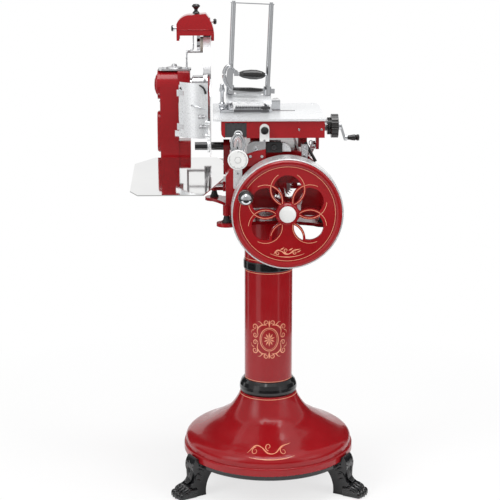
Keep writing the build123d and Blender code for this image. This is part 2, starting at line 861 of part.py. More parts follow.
def lug_y():
    return CROSS_Y - rod_reach()


def crank_arm():
    """The crank's shaft with its arm, counterweight and pin."""
    py, pz = polar(CRANK_R, crank_angle())
    wy, wz = polar(34, crank_angle() + 180)
    arm = strap(CROSS_Y, crank_z(), 19, CROSS_Y + py, crank_z() + pz, 12)
    weight = strap(CROSS_Y, crank_z(), 19, CROSS_Y + wy, crank_z() + wz, 25)
    body = prism_x(arm, CRANK_X, CRANK_X + CRANK_T)
    body += prism_x(weight, CRANK_X, CRANK_X + CRANK_T)
    body += rod_x(CRANK_SHAFT_R, CRANK_GEAR_X - 4, CRANK_X, CROSS_Y, crank_z())
    body += rod_x(
        CRANK_PIN_R, CRANK_X + CRANK_T, ROD_X - GAP, CROSS_Y + py, crank_z() + pz
    )
    return body


def connecting_rod():
    """The rod from the crank to the carriage, with an eye at each end."""
    dy, dz = polar(ROD_LENGTH, crank_angle() + 180.0)
    y0, z0 = lug_y(), LUG_Z
    shank = capsule(y0, z0, y0 + dy, z0 + dz, 7)
    face = shank + Pos(y0, z0) * Circle(ROD_EYE_R)
    face += Pos(y0 + dy, z0 + dz) * Circle(ROD_EYE_R + 1)
    face -= Pos(y0, z0) * Circle(ROD_PIN_R + RUN)
    face -= Pos(y0 + dy, z0 + dz) * Circle(CRANK_PIN_R + RUN)
    return prism_x(face, ROD_X, ROD_X + ROD_T)


def sprocket(z, bore):
    x0, x1 = SPROCKET_X - SPROCKET_T / 2, SPROCKET_X + SPROCKET_T / 2
    pitch_r = CHAIN_PITCH / (2 * sin(pi / SPROCKET_TEETH))
    face = polygon(tooth_outline(SPROCKET_TEETH, pitch_r - 2.0, 1.6, 2.2, 0.0))
    wheel = Pos(0, CROSS_Y, z) * prism_x(face, x0, x1)
    wheel += rod_x(bore + 5, x0 - 5, x1 + 8, CROSS_Y, z)
    return wheel - rod_x(bore, x0 - 20, x1 + 20, CROSS_Y, z)


def lower_sprocket():
    return sprocket(SHAFT_Z, CROSS_R)


def upper_sprocket():
    return sprocket(BLADE_Z, BLADE_SHAFT_R)


def drive_chain():
    """The chain's loop round both sprockets: two rows of link plates with pins between."""
    pitch_r = CHAIN_PITCH / (2 * sin(pi / SPROCKET_TEETH))
    outer = capsule(CROSS_Y, SHAFT_Z, CROSS_Y, BLADE_Z, pitch_r + 4)
    inner = capsule(CROSS_Y, SHAFT_Z, CROSS_Y, BLADE_Z, pitch_r + GAP)
    row = outer - inner
    return prism_x(row, SPROCKET_X - CHAIN_W / 2, SPROCKET_X + CHAIN_W / 2)


# ======================= blade and its case =======================
def case_outline(inset):
    return strap(
        CROSS_Y, BLADE_Z, CASE_TOP_R - inset, CROSS_Y, SHAFT_Z, CASE_LOW_R - inset
    )


def chain_case():
    """The casting that carries the blade: a hollow case for the chain, open to the left,
    and the thick arm that joins it to the base frame."""
    body = prism_x(case_outline(0), CASE_LEFT, CASE_RIGHT)
    body -= prism_x(case_outline(CASE_WALL), CASE_LEFT - 1, CASE_RIGHT - 8)
    body += turned_x(
        [
            (0, CASE_RIGHT - 1),
            (BOSS_R, CASE_RIGHT - 1),
            (BOSS_R, BOSS_RIGHT - 6),
            (BOSS_R - 6, BOSS_RIGHT),
            (0, BOSS_RIGHT),
        ],
        CROSS_Y,
        BLADE_Z,
    )
    low = SHAFT_Z + CROSS_R + 8
    flange = block(CASE_RIGHT - 2, BOSS_RIGHT, CROSS_Y - 36, CROSS_Y + 36, low + 4, 1074)
    body += fillet(flange.edges().filter_by(Axis.X), 8)
    beam = block(BOSS_RIGHT - 2, FRAME_LEFT, CROSS_Y - 28, CROSS_Y + 28, low + 10, 1008)
    body += fillet(beam.edges().filter_by(Axis.X), 8)
    body += rod_x(CROSS_R + 13, CASE_RIGHT - 1, CASE_RIGHT + 10, CROSS_Y, SHAFT_Z)
    body += deflector_bracket()
    body -= rod_x(BLADE_SHAFT_R + RUN, CASE_LEFT, 0, CROSS_Y, BLADE_Z)
    body -= rod_x(CROSS_R + RUN, CASE_LEFT, CASE_RIGHT + 20, CROSS_Y, SHAFT_Z)
    return body


def case_cover():
    """The left cover of the case, with a round boss and a long raised panel."""
    left = CASE_LEFT - COVER_T
    cover = prism_x(case_outline(0), left, CASE_LEFT)
    cover += rod_x(CASE_TOP_R, left - 8, left, CROSS_Y, BLADE_Z)
    panel = prism_x(capsule(CROSS_Y, 1066, CROSS_Y, 1134, 32), left - 10, left)
    panel = chamfer(panel.faces().sort_by(Axis.X)[0].edges(), 4)
    cover += panel
    low = rod_x(26, left - 6, left, CROSS_Y, SHAFT_Z)
    return cover + chamfer(low.faces().sort_by(Axis.X)[0].edges(), 3)


def bearing_cap():
    """The domed cap over the blade shaft's end."""
    left = CASE_LEFT - COVER_T - 8
    return turned_x(
        [
            (0, left - 11),
            (DOME_R - 18, left - 9.5),
            (DOME_R - 6, left - 5.5),
            (DOME_R, left - 1),
            (DOME_R, left),
            (0, left),
        ],
        CROSS_Y,
        BLADE_Z,
    )


def case_top():
    """A light plate on top of the case, with the oiler's cap and nub."""
    z = BLADE_Z + CASE_TOP_R
    plate = block(-343, BOSS_RIGHT + 3, CROSS_Y - 30, CROSS_Y + 30, z, z + 5)
    plate = fillet(plate.edges().filter_by(Axis.Z), 12)
    cap = turned(
        [(0, z + 5), (26, z + 5), (24, z + 9), (9, z + 12), (7, z + 18), (0, z + 20)]
    )
    return plate + Pos(-292, CROSS_Y, 0) * cap


def blade_shaft():
    return rod_x(BLADE_SHAFT_R, CASE_LEFT + 2, BLADE_EDGE_X - BLADE_DISH - BLADE_T, CROSS_Y, BLADE_Z)


def blade_hub():
    """The hub on the left of the blade, and the disc of screws inside its dish."""
    left = BLADE_EDGE_X - BLADE_DISH - BLADE_T
    hub = turned_x(
        [
            (BLADE_SHAFT_R, BOSS_RIGHT + GAP),
            (BLADE_HUB_R - 8, BOSS_RIGHT + GAP),
            (BLADE_HUB_R - 8, BOSS_RIGHT + 6),
            (BLADE_HUB_R, BOSS_RIGHT + 8),
            (BLADE_HUB_R, left - 8),
            (BLADE_HUB_R + 16, left - 6),
            (BLADE_HUB_R + 16, left),
            (BLADE_SHAFT_R, left),
        ],
        CROSS_Y,
        BLADE_Z,
    )
    return hub


def blade():
    """The dished knife: flat in the middle, ground to an edge from the left."""
    edge = BLADE_EDGE_X
    right = edge - BLADE_DISH
    disc = turned_x(
        [
            (0, right - BLADE_T),
            (58, right - BLADE_T),
            (138, edge - 6.5),
            (BLADE_R, edge - 0.6),
            (BLADE_R, edge),
            (60, right),
            (0, right),
        ],
        CROSS_Y,
        BLADE_Z,
    )
    screws = rod_x(3.5, right - 1, right + 2, CROSS_Y, BLADE_Z + 34)
    for i in range(1, 4):
        y, z = polar(34, 90 + 90 * i)
        screws += rod_x(3.5, right - 1, right + 2, CROSS_Y + y, BLADE_Z + z)
    return disc + screws


def blade_guard():
    """The polished ring round the part of the edge that doesn't cut."""
    inner = BLADE_R + GUARD_GAP
    outer = inner + GUARD_T
    ring = turned_x(
        [
            (inner, GUARD_RIGHT),
            (outer, GUARD_RIGHT),
            (outer, GUARD_LEFT),
            (inner - 16, GUARD_LEFT),
            (inner - 16, GUARD_LEFT + 3),
            (inner, GUARD_LEFT + 3),
        ],
        CROSS_Y,
        BLADE_Z,
    )
    y0, z0 = CROSS_Y, BLADE_Z
    far = 260.0
    open_part = polygon(
        [
            (y0, z0),
            (y0 + far * cos(radians(162)), z0 + far * sin(radians(162))),
            (y0 - far, z0 - far * 0.5),
            (y0 - far * 0.5, z0 - far),
            (y0 + far * cos(radians(292)), z0 + far * sin(radians(292))),
        ]
    )
    ring -= prism_x(open_part, GUARD_LEFT - 5, GUARD_RIGHT + 5)
    # the seat of the sharpener on top of the ring
    top = z0 + outer
    seat = block(GUARD_LEFT, GUARD_RIGHT, y0 - 20, y0 + 20, top - 8, HOOD_Z + 12)
    seat -= rod_x(outer - 1, GUARD_LEFT - 5, GUARD_RIGHT + 5, y0, z0)
    # a notch in the ring's flange for the grinding stone
    notch = block(GUARD_LEFT - 2, GUARD_LEFT + 4, y0 - 32, y0 + 32, z0 + 120, z0 + inner - 0.6)
    # and one in its right edge for the burr stone's arm
    z1 = z0 + outer + 3
    burr = block(GUARD_RIGHT - 3.5, GUARD_RIGHT + 2, BURR_Y - 8, BURR_Y + 8, z0 + 140, z1)
    return ring - notch - burr + seat + guard_stays()


def guard_stays():
    """Rods from the bearing boss that carry the ring, each with a bend."""
    x = BOSS_RIGHT - 12
    reach = BLADE_R + GUARD_GAP - 9
    stays = None
    for angle in (40.0, -15.0, -60.0):
        y, z = polar(reach, angle)
        y0, z0 = polar(BOSS_R - 4, angle)
        radial = capsule(CROSS_Y + y0, BLADE_Z + z0, CROSS_Y + y, BLADE_Z + z, 4.5)
        stay = prism_x(radial, x - 3, x + 3)
        stay += rod_x(4, x + 1, GUARD_LEFT + 1, CROSS_Y + y, BLADE_Z + z)
        stays = stay if stays is None else stays + stay
    return stays - rod_x(BOSS_R, CASE_RIGHT, BOSS_RIGHT + 5, CROSS_Y, BLADE_Z)


def deflector_plate():
    """The white sheet on the left of the blade that turns the slices down to the tray."""
    x0, y0 = -186.0, 22.0
    x1, y1 = DEFLECTOR_X - 1, DEFLECTOR_Y - 5.5
    thick = 2.5
    outer = make_face(
        ThreePointArc((x0, y0), (-226, 24), (x1, y1))
        + Line((x1, y1), (x1 + 1, y1 + thick))
        + ThreePointArc((x1 + 1, y1 + thick), (-226, 24 + thick), (x0, y0 + thick))
        + Line((x0, y0 + thick), (x0, y0))
    )
    sheet = prism_z(outer, DEFLECTOR_LOW, DEFLECTOR_HIGH)
    for z in DEFLECTOR_EYES:
        sheet -= block(x1 - 5, x1 + 12, y0, y1 + 9, z - GAP, z + 12 + GAP)
    beak = prism_z(
        polygon([(x1 + 2, y1 - 1), (x1 - 16, y1 + 10), (x1 - 16, y1 + 12.5), (x1 + 2, y1 + 2)]),
        DEFLECTOR_LOW,
        DEFLECTOR_LOW + 18,
    )
    hinge = rod_z(
        DEFLECTOR_PIN_R, DEFLECTOR_LOW + 16, DEFLECTOR_HIGH - 10, DEFLECTOR_X, DEFLECTOR_Y
    )
    return sheet + beak + hinge


def deflector_bracket():
    """Two arms from the front of the case that hold the deflector's hinge rod."""
    x, y = DEFLECTOR_X, DEFLECTOR_Y
    arms = None
    for z in DEFLECTOR_EYES:
        arm = block(x - 5, x + 5, y - 6, CROSS_Y - 30, z, z + 12)
        arm += block(x - 8, x + 5, CROSS_Y - 52, CROSS_Y - 26, z, z + 12)
        arm -= rod_z(DEFLECTOR_PIN_R + RUN, z - 2, z + 14, x, y)
        arms = arm if arms is None else arms + arm
    return arms


# ======================= gauge plate, dial and tray =======================
def gauge_plate():
    """The upright plate in front of the blade that sets the slice."""
    left = GAUGE_RIGHT - GAUGE_T
    outline = polygon(
        [
            (GAUGE_FRONT, GAUGE_BOTTOM + 30),
            (GAUGE_FRONT + 30, GAUGE_BOTTOM),
            (80, GAUGE_BOTTOM),
            (120, GAUGE_TOP),
            (GAUGE_FRONT + 30, GAUGE_TOP),
            (GAUGE_FRONT, GAUGE_TOP - 30),
        ]
    )
    outline -= Pos(CROSS_Y, BLADE_Z) * Circle(BLADE_R + GUARD_GAP)
    plate = prism_x(outline, left, GAUGE_RIGHT)
    for z in (1172.0, 1132.0):
        plate += rod_x(5, left - 14, left, GAUGE_FRONT + 22, z)
        plate += rod_x(7.5, left - 14, left - 8, GAUGE_FRONT + 22, z)
    plate += rod_x(BAR_R + 7, left - 8, left, BAR_Y, BAR_Z)
    return plate - rod_x(BAR_R, left - 20, GAUGE_RIGHT + 10, BAR_Y, BAR_Z)


def gauge_bar():
    return rod_x(BAR_R, -226, -108, BAR_Y, BAR_Z)


def gauge_bracket():
    """The upright that guides the gauge bar, on the shoulder of the frame."""
    face = Pos(BAR_Y, BAR_Z) * Circle(BAR_R + 8)
    face += polygon(
        [
            (BAR_Y - 20, SHOULDER_Z - 20),
            (BAR_Y - 20, BAR_Z),
            (BAR_Y + 20, BAR_Z),
            (BAR_Y + 20, SHOULDER_Z - 20),
        ]
    )
    upright = prism_x(face, FRAME_LEFT - 6, FRAME_LEFT + 13)
    upright -= rod_x(BAR_R + RUN, -160, -100, BAR_Y, BAR_Z)
    cut = prism_y(frame_outline(), FRAME_FRONT, FRAME_BACK)
    return upright - cut


def dial_stand():
    """The bright block, the neck that carries the thickness dial, and its loops."""
    front = FRAME_FRONT - 25
    base = block(DIAL_X - 13, DIAL_X + 13, front, FRAME_FRONT, 985, 1042)
    body = fillet(base.edges().filter_by(Axis.Y), 3)
    body += block(DIAL_X - 8, DIAL_X + 8, front + 6, FRAME_FRONT, 1036, DIAL_Z)
    body += rod_y(14, DIAL_FRONT + 14, FRAME_FRONT, DIAL_X, DIAL_Z)
    body -= rod_y(5 + RUN, DIAL_FRONT - 5, FRAME_FRONT - 6, DIAL_X, DIAL_Z)
    return body + thickness_fork()


def thickness_dial():
    """The white disc with its hub and stem."""
    front = DIAL_FRONT
    return turned_y(
        [
            (0, front - 3),
            (6, front - 3),
            (6, front),
            (DIAL_R - 2, front),
            (DIAL_R, front + 2),
            (DIAL_R, front + 7),
            (8, front + 7),
            (8, front + 10),
            (5, front + 10),
            (5, FRAME_FRONT - 8),
            (0, FRAME_FRONT - 8),
        ],
        DIAL_X,
        DIAL_Z,
    )


def thickness_fork():
    """Three bright loops that stand up behind the dial."""
    front = DIAL_FRONT + 11
    fork = Circle(15)
    for lean, length, width in ((14.0, 66.0, 8.0), (-16.0, 66.0, 9.0), (-1.0, 86.0, 13.0)):
        tip = polar(length - width, 90.0 + lean)
        root = polar(10.0, 90.0 + lean)
        fork += capsule(root[0], root[1], tip[0], tip[1], width)
    for lean, length, width in ((14.0, 66.0, 8.0), (-16.0, 66.0, 9.0), (-1.0, 86.0, 13.0)):
        tip = polar(length - width, 90.0 + lean)
        root = polar(40.0, 90.0 + lean)
        fork -= capsule(root[0], root[1], tip[0], tip[1], width - 4.0)
    fork -= Circle(8 + GAP)
    return Pos(DIAL_X, 0, DIAL_Z) * prism_y(fork, front, front + 5)


def tray_height(y):
    slope = (TRAY_BACK_Z - TRAY_FRONT_Z) / (TRAY_BACK - TRAY_FRONT)
    return TRAY_FRONT_Z + slope * (y - TRAY_FRONT)


def receiving_tray():
    """A polished plate with clipped corners that catches the slices."""
    outline = polygon(
        [
            (-353, TRAY_BACK),
            (TRAY_LEFT, 62),
            (TRAY_LEFT, TRAY_FRONT + 40),
            (TRAY_LEFT + 24, TRAY_FRONT),
            (-200, TRAY_FRONT),
            (-174, -190),
            (-140, -92),
            (-140, 96),
            (-160, TRAY_BACK),
        ]
    )
    tall = prism_z(outline, 900, 1100)
    low = tray_height(TRAY_FRONT - 50)
    high = tray_height(TRAY_BACK + 50)
    band = polygon(
        [
            (TRAY_FRONT - 50, low - TRAY_T),
            (TRAY_FRONT - 50, low),
            (TRAY_BACK + 50, high),
            (TRAY_BACK + 50, high - TRAY_T),
        ]
    )
    return (tall & prism_x(band, -500, 0)) + tray_arms()


def tray_arms():
    """Two flat arms from the frame that the tray is screwed to."""
    arms = None
    for y in (-60.0, 60.0):
        top0 = tray_height(y - 10) - 1
        top1 = tray_height(y + 10) - 1
        low = top0 - 16
        side = polygon([(y - 10, low), (y - 10, top0), (y + 10, top1), (y + 10, low)])
        arm = prism_x(side, -330, FRAME_LEFT)
        arms = arm if arms is None else arms + arm
    return arms


# ======================= carriage =======================
def nut_slot(z0, z1):
    """The space that the clamp's nut travels in."""
    reach = NUT_HALF + 2
    return block(NUT_X - reach, NUT_X + FEED_TRAVEL + reach, SCREW_Y - 9, SCREW_Y + 9, z0, z1)


def carriage_body():
    """A shallow red box, open below, that runs on the rails."""
    left, right = BODY_LEFT, BODY_RIGHT
    profile = make_face(
        Line((left, BODY_LOW + 16), (left, BODY_HIGH))
        + Line((left, BODY_HIGH), (right, BODY_HIGH))
        + Line((right, BODY_HIGH), (right, BODY_LOW))
        + Line((right, BODY_LOW), (left + 14, BODY_LOW))
        + ThreePointArc((left + 14, BODY_LOW), (left + 4, BODY_LOW + 5), (left, BODY_LOW + 16))
    )
    body = prism_y(profile, BODY_FRONT, BODY_BACK)
    body -= block(
        left + BODY_WALL,
        right - BODY_WALL,
        BODY_FRONT + BODY_WALL,
        BODY_BACK - BODY_WALL,
        BODY_LOW - 1,
        BODY_HIGH - BODY_WALL,
    )
    # the recess near the left end of the front
    y0, y1 = BODY_FRONT - 1, BODY_FRONT + BODY_WALL + 1
    body -= block(left + 11, left + 74, y0, y1, BODY_LOW - 1, BODY_HIGH - 5)
    # slot for the clamp's nut
    body -= nut_slot(BODY_HIGH - 10, BODY_HIGH + 1)
    # saddles that slide on the rails, open below
    for y in SADDLE_Y:
        for x in RAIL_X:
            right_side = min(x + 16, CRANK_X - 2)
            y0, y1 = y - SADDLE_HALF, y + SADDLE_HALF
            body += block(x - 16, right_side, y0, y1, SADDLE_LOW, BODY_HIGH - 1)
    for x in RAIL_X:
        body -= rod_y(RAIL_R + RUN, BODY_FRONT - 50, BODY_BACK + 50, x, RAIL_Z)
    # the right saddles have no outer side below the middle of the rail
    y0, y1 = BODY_FRONT, BODY_BACK
    body -= block(RAIL_X[1] + 5, CRANK_X, y0, y1, SADDLE_LOW - 1, RAIL_Z + 2)
    # lug and pin for the connecting rod
    pin_x = ROD_X + ROD_T + 2
    body += block(pin_x, pin_x + 9, lug_y() - 13, lug_y() + 13, LUG_Z, BODY_HIGH - BODY_WALL + 1)
    body += rod_x(13, pin_x, pin_x + 9, lug_y(), LUG_Z)
    body += rod_x(ROD_PIN_R, ROD_X, pin_x + 1, lug_y(), LUG_Z)
    # bearings of the feed screw
    body += rod_x(SCREW_R + 8, right - BODY_WALL - 8, right, SCREW_Y, SCREW_Z)
    body += rod_x(SCREW_R + 6, left, left + 16, SCREW_Y, SCREW_Z)
    body -= rod_x(SCREW_R + RUN, left + 4, right + 5, SCREW_Y, SCREW_Z)
    return body


def screw_bearing():
    """The end plate of the feed screw, on the right end of the carriage."""
    x = BODY_RIGHT
    plate = block(x, x + 5, SCREW_Y - 46, SCREW_Y + 46, BODY_LOW + 4, BODY_HIGH - 3)
    plate = fillet(plate.edges().filter_by(Axis.X), 8)
    plate += rod_x(15, x + 5, x + 20, SCREW_Y, SCREW_Z)
    for y in (SCREW_Y - 34, SCREW_Y + 34):
        plate += rod_x(6, x + 5, x + 13, y, SCREW_Z + 8)
    return plate - rod_x(SCREW_R + RUN, x - 5, x + 30, SCREW_Y, SCREW_Z)


def stop_plate():
    """The bright plate with a round top on the front of the carriage."""
    x, half, low = STOP_X, 14.0, RAIL_CAP_TOP + 1.5
    high = STOP_Z + 4
    face = polygon([(x - half, low), (x - half, high), (x + half, high), (x + half, low)])
    face += Pos(x, high) * Circle(half)
    plate = prism_y(face, BODY_FRONT - STOP_T, BODY_FRONT)
    return plate - rod_y(INDEX_PIN_R + RUN, BODY_FRONT - STOP_T - 2, BODY_FRONT + 1, x, STOP_Z)


def index_knob():
    """The black knob on the stop plate, which pulls out on its pin."""
    front = BODY_FRONT - STOP_T - GAP
    return turned_y(
        [
            (0, front - 15),
            (8, front - 14),
            (11, front - 10),
            (11, front - 5),
            (6, front - 3),
            (5.5, front),
            (INDEX_PIN_R, front),
            (INDEX_PIN_R, BODY_FRONT - 1),
            (0, BODY_FRONT - 1),
        ],
        STOP_X,
        STOP_Z,
    )


def meat_table():
    """The white table on the carriage, with the slot of the clamp's nut."""
    low = BODY_HIGH
    table = block(TABLE_LEFT, TABLE_RIGHT, BODY_FRONT - 6, BODY_BACK, low, low + TABLE_T)
    table = fillet(table.edges().filter_by(Axis.Z), 10)
    return table - nut_slot(low - 1, low + TABLE_T + 1)


def feed_screw():
    return rod_x(SCREW_R, BODY_LEFT + 6, BODY_RIGHT + 62, SCREW_Y, SCREW_Z)


def feed_wheel():
    """The black hand wheel with a knurled flange and round finger grips."""
    x = BODY_RIGHT + 21
    flange = tube_x(25, SCREW_R, x, x + 12, SCREW_Y, SCREW_Z)
    face = Circle(FEED_WHEEL_R - 2)
    for i in range(12):
        face -= Pos(*polar(FEED_WHEEL_R + 3, i * 30.0)) * Circle(7)
    face -= Circle(SCREW_R)
    wheel = Pos(0, SCREW_Y, SCREW_Z) * prism_x(face, x + 12, x + 33)
    return flange + wheel


def feed_crank():
    """The bright arm that slopes outwards, and the pin of its grip."""
    x0 = BODY_RIGHT + 62
    x1 = x0 + 16
    z1 = SCREW_Z - FEED_CRANK_R
    side = polygon(
        [(x0 - 7, SCREW_Z + 11), (x0 + 1, SCREW_Z + 11), (x1 + 3, z1 - 8), (x1 - 5, z1 - 8)]
    )
    arm = prism_y(side, SCREW_Y - 7, SCREW_Y + 7)
    arm += rod_x(12, x0 - 7, x0 + 2, SCREW_Y, SCREW_Z)
    arm += rod_x(8.5, x1 - 3, x1 + 5, SCREW_Y, z1)
    arm += rod_x(FEED_PIN_R, x1, x1 + 41, SCREW_Y, z1)
    return arm - feed_screw()


def crank_grip():
    x0 = BODY_RIGHT + 62 + 16 + 5 + GAP
    z1 = SCREW_Z - FEED_CRANK_R
    outline = [
        (FEED_PIN_R + RUN, x0),
        (6.5, x0),
        (7.0, x0 + 6),
        (8.8, x0 + 16),
        (9.6, x0 + 23),
        (7.6, x0 + 26),
        (10.0, x0 + 31),
        (9.0, x0 + 36),
        (FEED_PIN_R + RUN, x0 + 37),
    ]
    return turned_x(outline, SCREW_Y, z1)


# ======================= meat clamp =======================
def leaning(shape):
    """Moves a shape made upright about the posts' feet to the posts' lean."""
    top = BODY_HIGH + TABLE_T + GAP + CLAMP_BASE_T
    middle = (POST_LEFT + POST_RIGHT) / 2
    return Pos(middle, SCREW_Y, top) * Rot(0, CLAMP_LEAN, 0) * Pos(-middle, -SCREW_Y, -top) * shape


def clamp_base():
    """The foot of the clamp, with the nut that the feed screw drives below the table,
    a comb of points along its front and the block of its side knob."""
    low = BODY_HIGH + TABLE_T + GAP
    top = low + CLAMP_BASE_T
    base = block(POST_LEFT - 28, POST_RIGHT + 16, SCREW_Y - 40, SCREW_Y + 40, low, top)
    base = fillet(base.edges().filter_by(Axis.Z), 8)
    base += leaning(rod_z(12, top - 4, top + 8, POST_LEFT, SCREW_Y))
    base += leaning(rod_z(12, top - 4, top + 8, POST_RIGHT, SCREW_Y))
    base += block(NUT_X - 7, NUT_X + 7, SCREW_Y - 6, SCREW_Y + 6, SCREW_Z + 4, low + 1)
    nut = block(
        NUT_X - NUT_HALF, NUT_X + NUT_HALF, SCREW_Y - 13, SCREW_Y + 13, SCREW_Z - 13, SCREW_Z + 13
    )
    base += nut
    base -= rod_x(SCREW_R + RUN, NUT_X - 25, NUT_X + 25, SCREW_Y, SCREW_Z)
    base += spiked_plate() + knob_block()
    return base - clamp_posts()


def clamp_posts():
    """The two leaning posts and the bar across their tops."""
    top = BODY_HIGH + TABLE_T + GAP + CLAMP_BASE_T
    posts = leaning(rod_z(POST_R, top - 5, POST_TOP - 2, POST_LEFT, SCREW_Y))
    posts += leaning(rod_z(POST_R, top - 5, POST_TOP - 2, POST_RIGHT, SCREW_Y))
    return posts + tie_bar()


def tie_bar():
    """The thin bar that joins the tops of the posts."""
    bar = block(POST_LEFT - 9, POST_RIGHT + 9, SCREW_Y - 9, SCREW_Y + 9, POST_TOP - 3, POST_TOP)
    bar = fillet(bar.edges().filter_by(Axis.Z), 8)
    for x in (POST_LEFT, POST_RIGHT):
        bar += rod_z(5, POST_TOP - 1, POST_TOP + 4, x, SCREW_Y)
    return leaning(bar)


def spiked_plate():
    """A comb of points along the front of the clamp's foot."""
    low = BODY_HIGH + TABLE_T + GAP
    y0 = SCREW_Y - 40
    comb = block(-106, -26, y0 - 4, y0 + 1, low, low + 12)
    for i in range(9):
        x = -102 + i * 9.0
        comb += Pos(x, y0 - 2, low + 14.5) * Cone(1.9, 0.4, 7)
    return comb


def clamp_slide():
    """Two sleeves that run on the posts, joined by a bridge."""
    low, high = SLEEVE_Z, SLEEVE_Z + SLEEVE_H
    body = rod_z(SLEEVE_R, low, high, POST_LEFT, SCREW_Y)
    body += rod_z(SLEEVE_R, low, high, POST_RIGHT, SCREW_Y)
    body += block(POST_LEFT, POST_RIGHT, SCREW_Y - 5, SCREW_Y + 5, low + 4, high - 6)
    body += block(POST_RIGHT, POST_RIGHT + 22, SCREW_Y - 6, SCREW_Y + 6, low + 6, high - 6)
    body += block(POST_LEFT - 6, POST_LEFT + 8, SCREW_Y - 40, SCREW_Y - 4, low + 6, high - 2)
    for x in (POST_LEFT, POST_RIGHT):
        body -= rod_z(POST_R + RUN, low - 10, high + 10, x, SCREW_Y)
    body -= rod_y(LEVER_PIN_R + RUN, SCREW_Y - 60, SCREW_Y - 14, POST_LEFT + 1, high - 14)
    return leaning(body)


def hold_bar():
    """The black bar at the front of the slide that the hand lifts it by."""
    y = SCREW_Y - 32
    bar = turned_x(
        [
            (0, POST_LEFT + 8),
            (4, POST_LEFT + 8),
            (5.5, POST_LEFT + 26),
            (7, POST_LEFT + 60),
            (5.5, POST_LEFT + 92),
            (0, POST_LEFT + 100),
        ],
        y,
        SLEEVE_Z + 18,
    )
    return leaning(bar)


def press_plate():
    """The bright plate with a wavy edge that holds the meat down."""
    y0, y1 = SCREW_Y - 62, SCREW_Y + 44
    low = SLEEVE_Z - 22
    sheet = make_face(
        Spline((y0, low), (y0 + 26, low + 12), (y0 + 62, low + 18), (y1, low + 10))
        + Line((y1, low + 10), (y1, low + 13))
        + Spline((y1, low + 13), (y0 + 62, low + 21), (y0 + 26, low + 15), (y0, low + 3))
        + Line((y0, low + 3), (y0, low))
    )
    plate = prism_x(sheet, POST_LEFT - 12, POST_RIGHT + 12)
    for i in range(4):
        x = POST_LEFT + 14 + i * 28.0
        plate -= Pos(x, y0 - 6, low) * Cylinder(13, 60)
    for x in (POST_LEFT, POST_RIGHT):
        plate -= rod_z(POST_R + 3, low - 30, low + 50, x, SCREW_Y)
    plate += block(POST_LEFT + 18, POST_RIGHT - 18, SCREW_Y - 5, SCREW_Y + 5, low + 16, SLEEVE_Z + 4)
    return leaning(plate)


def clamp_lever():
    """The bright S-shaped arm on its pivot pin."""
    y = SCREW_Y - 40
    x = POST_LEFT + 1
    z = SLEEVE_Z + SLEEVE_H - 14
    face = capsule(x, z, x - 7, z + 34, 7.5)
    face += capsule(x - 7, z + 34, x - 5, z + 62, 8)
    face += capsule(x - 5, z + 62, x + 13, z + 59, 6)
    arm = prism_y(face, y - 10, y - GAP)
    arm += rod_y(LEVER_PIN_R, y - 4, SCREW_Y - 15, x, z)
    arm += rod_x(4, x + 10, x + 104, y - 15, z + 54)
    arm += block(x + 8, x + 22, y - 19, y - 6, z + 48, z + 60)
    return leaning(arm)


def clamp_grip():
    """The black oval grip, tilted a little down to the right."""
    y = SCREW_Y - 55
    x = POST_LEFT + 24
    z = SLEEVE_Z + SLEEVE_H - 14 + 54
    outline = [
        (4, x),
        (6, x),
        (11, x + 12),
        (14.5, x + 34),
        (14.5, x + 52),
        (11, x + 68),
        (5, x + 78),
        (4, x + 78),
    ]
    return leaning(turned_x(outline, y, z))


def clamp_knob():
    """The round white knob on its stem, behind the right post."""
    low = BODY_HIGH + TABLE_T + GAP
    y0 = SCREW_Y + 40
    stem = rod_y(KNOB_STEM_R, y0 - 6, y0 + 16, POST_RIGHT + 30, low + 20)
    disc = turned_y(
        [(0, y0 + 10), (12, y0 + 10), (13.5, y0 + 12), (13.5, y0 + 18), (11, y0 + 21), (0, y0 + 21)],
        POST_RIGHT + 30,
        low + 20,
    )
    return stem + disc


def knob_block():
    low = BODY_HIGH + TABLE_T + GAP
    y0 = SCREW_Y + 40
    body = block(POST_RIGHT + 15, POST_RIGHT + 42, y0 - 30, y0 - 2, low, low + 30)
    return body - rod_y(KNOB_STEM_R + RUN, y0 - 20, y0 + 5, POST_RIGHT + 30, low + 20)


# ======================= sharpener =======================
def hood_outline(inset):
    return make_face(
        Line((HOOD_LEFT + inset, HOOD_Z - 16), (HOOD_LEFT + inset, 1440))
        + ThreePointArc(
            (HOOD_LEFT + inset, 1440),
            (HOOD_LEFT + 16 + 0.6 * inset, 1460 - 0.8 * inset),
            (-236, 1468 - inset),
        )
        + Line((-236, 1468 - inset), (-192, HOOD_TOP - inset))
        + ThreePointArc(
            (-192, HOOD_TOP - inset),
            (-176 - 0.7 * inset, 1448 - 0.6 * inset),
            (HOOD_RIGHT - inset, HOOD_Z - 8),
        )
        + Line((HOOD_RIGHT - inset, HOOD_Z - 8), (HOOD_RIGHT - inset, HOOD_Z - 16))
        + Line((HOOD_RIGHT - inset, HOOD_Z - 16), (HOOD_LEFT + inset, HOOD_Z - 16))
    )


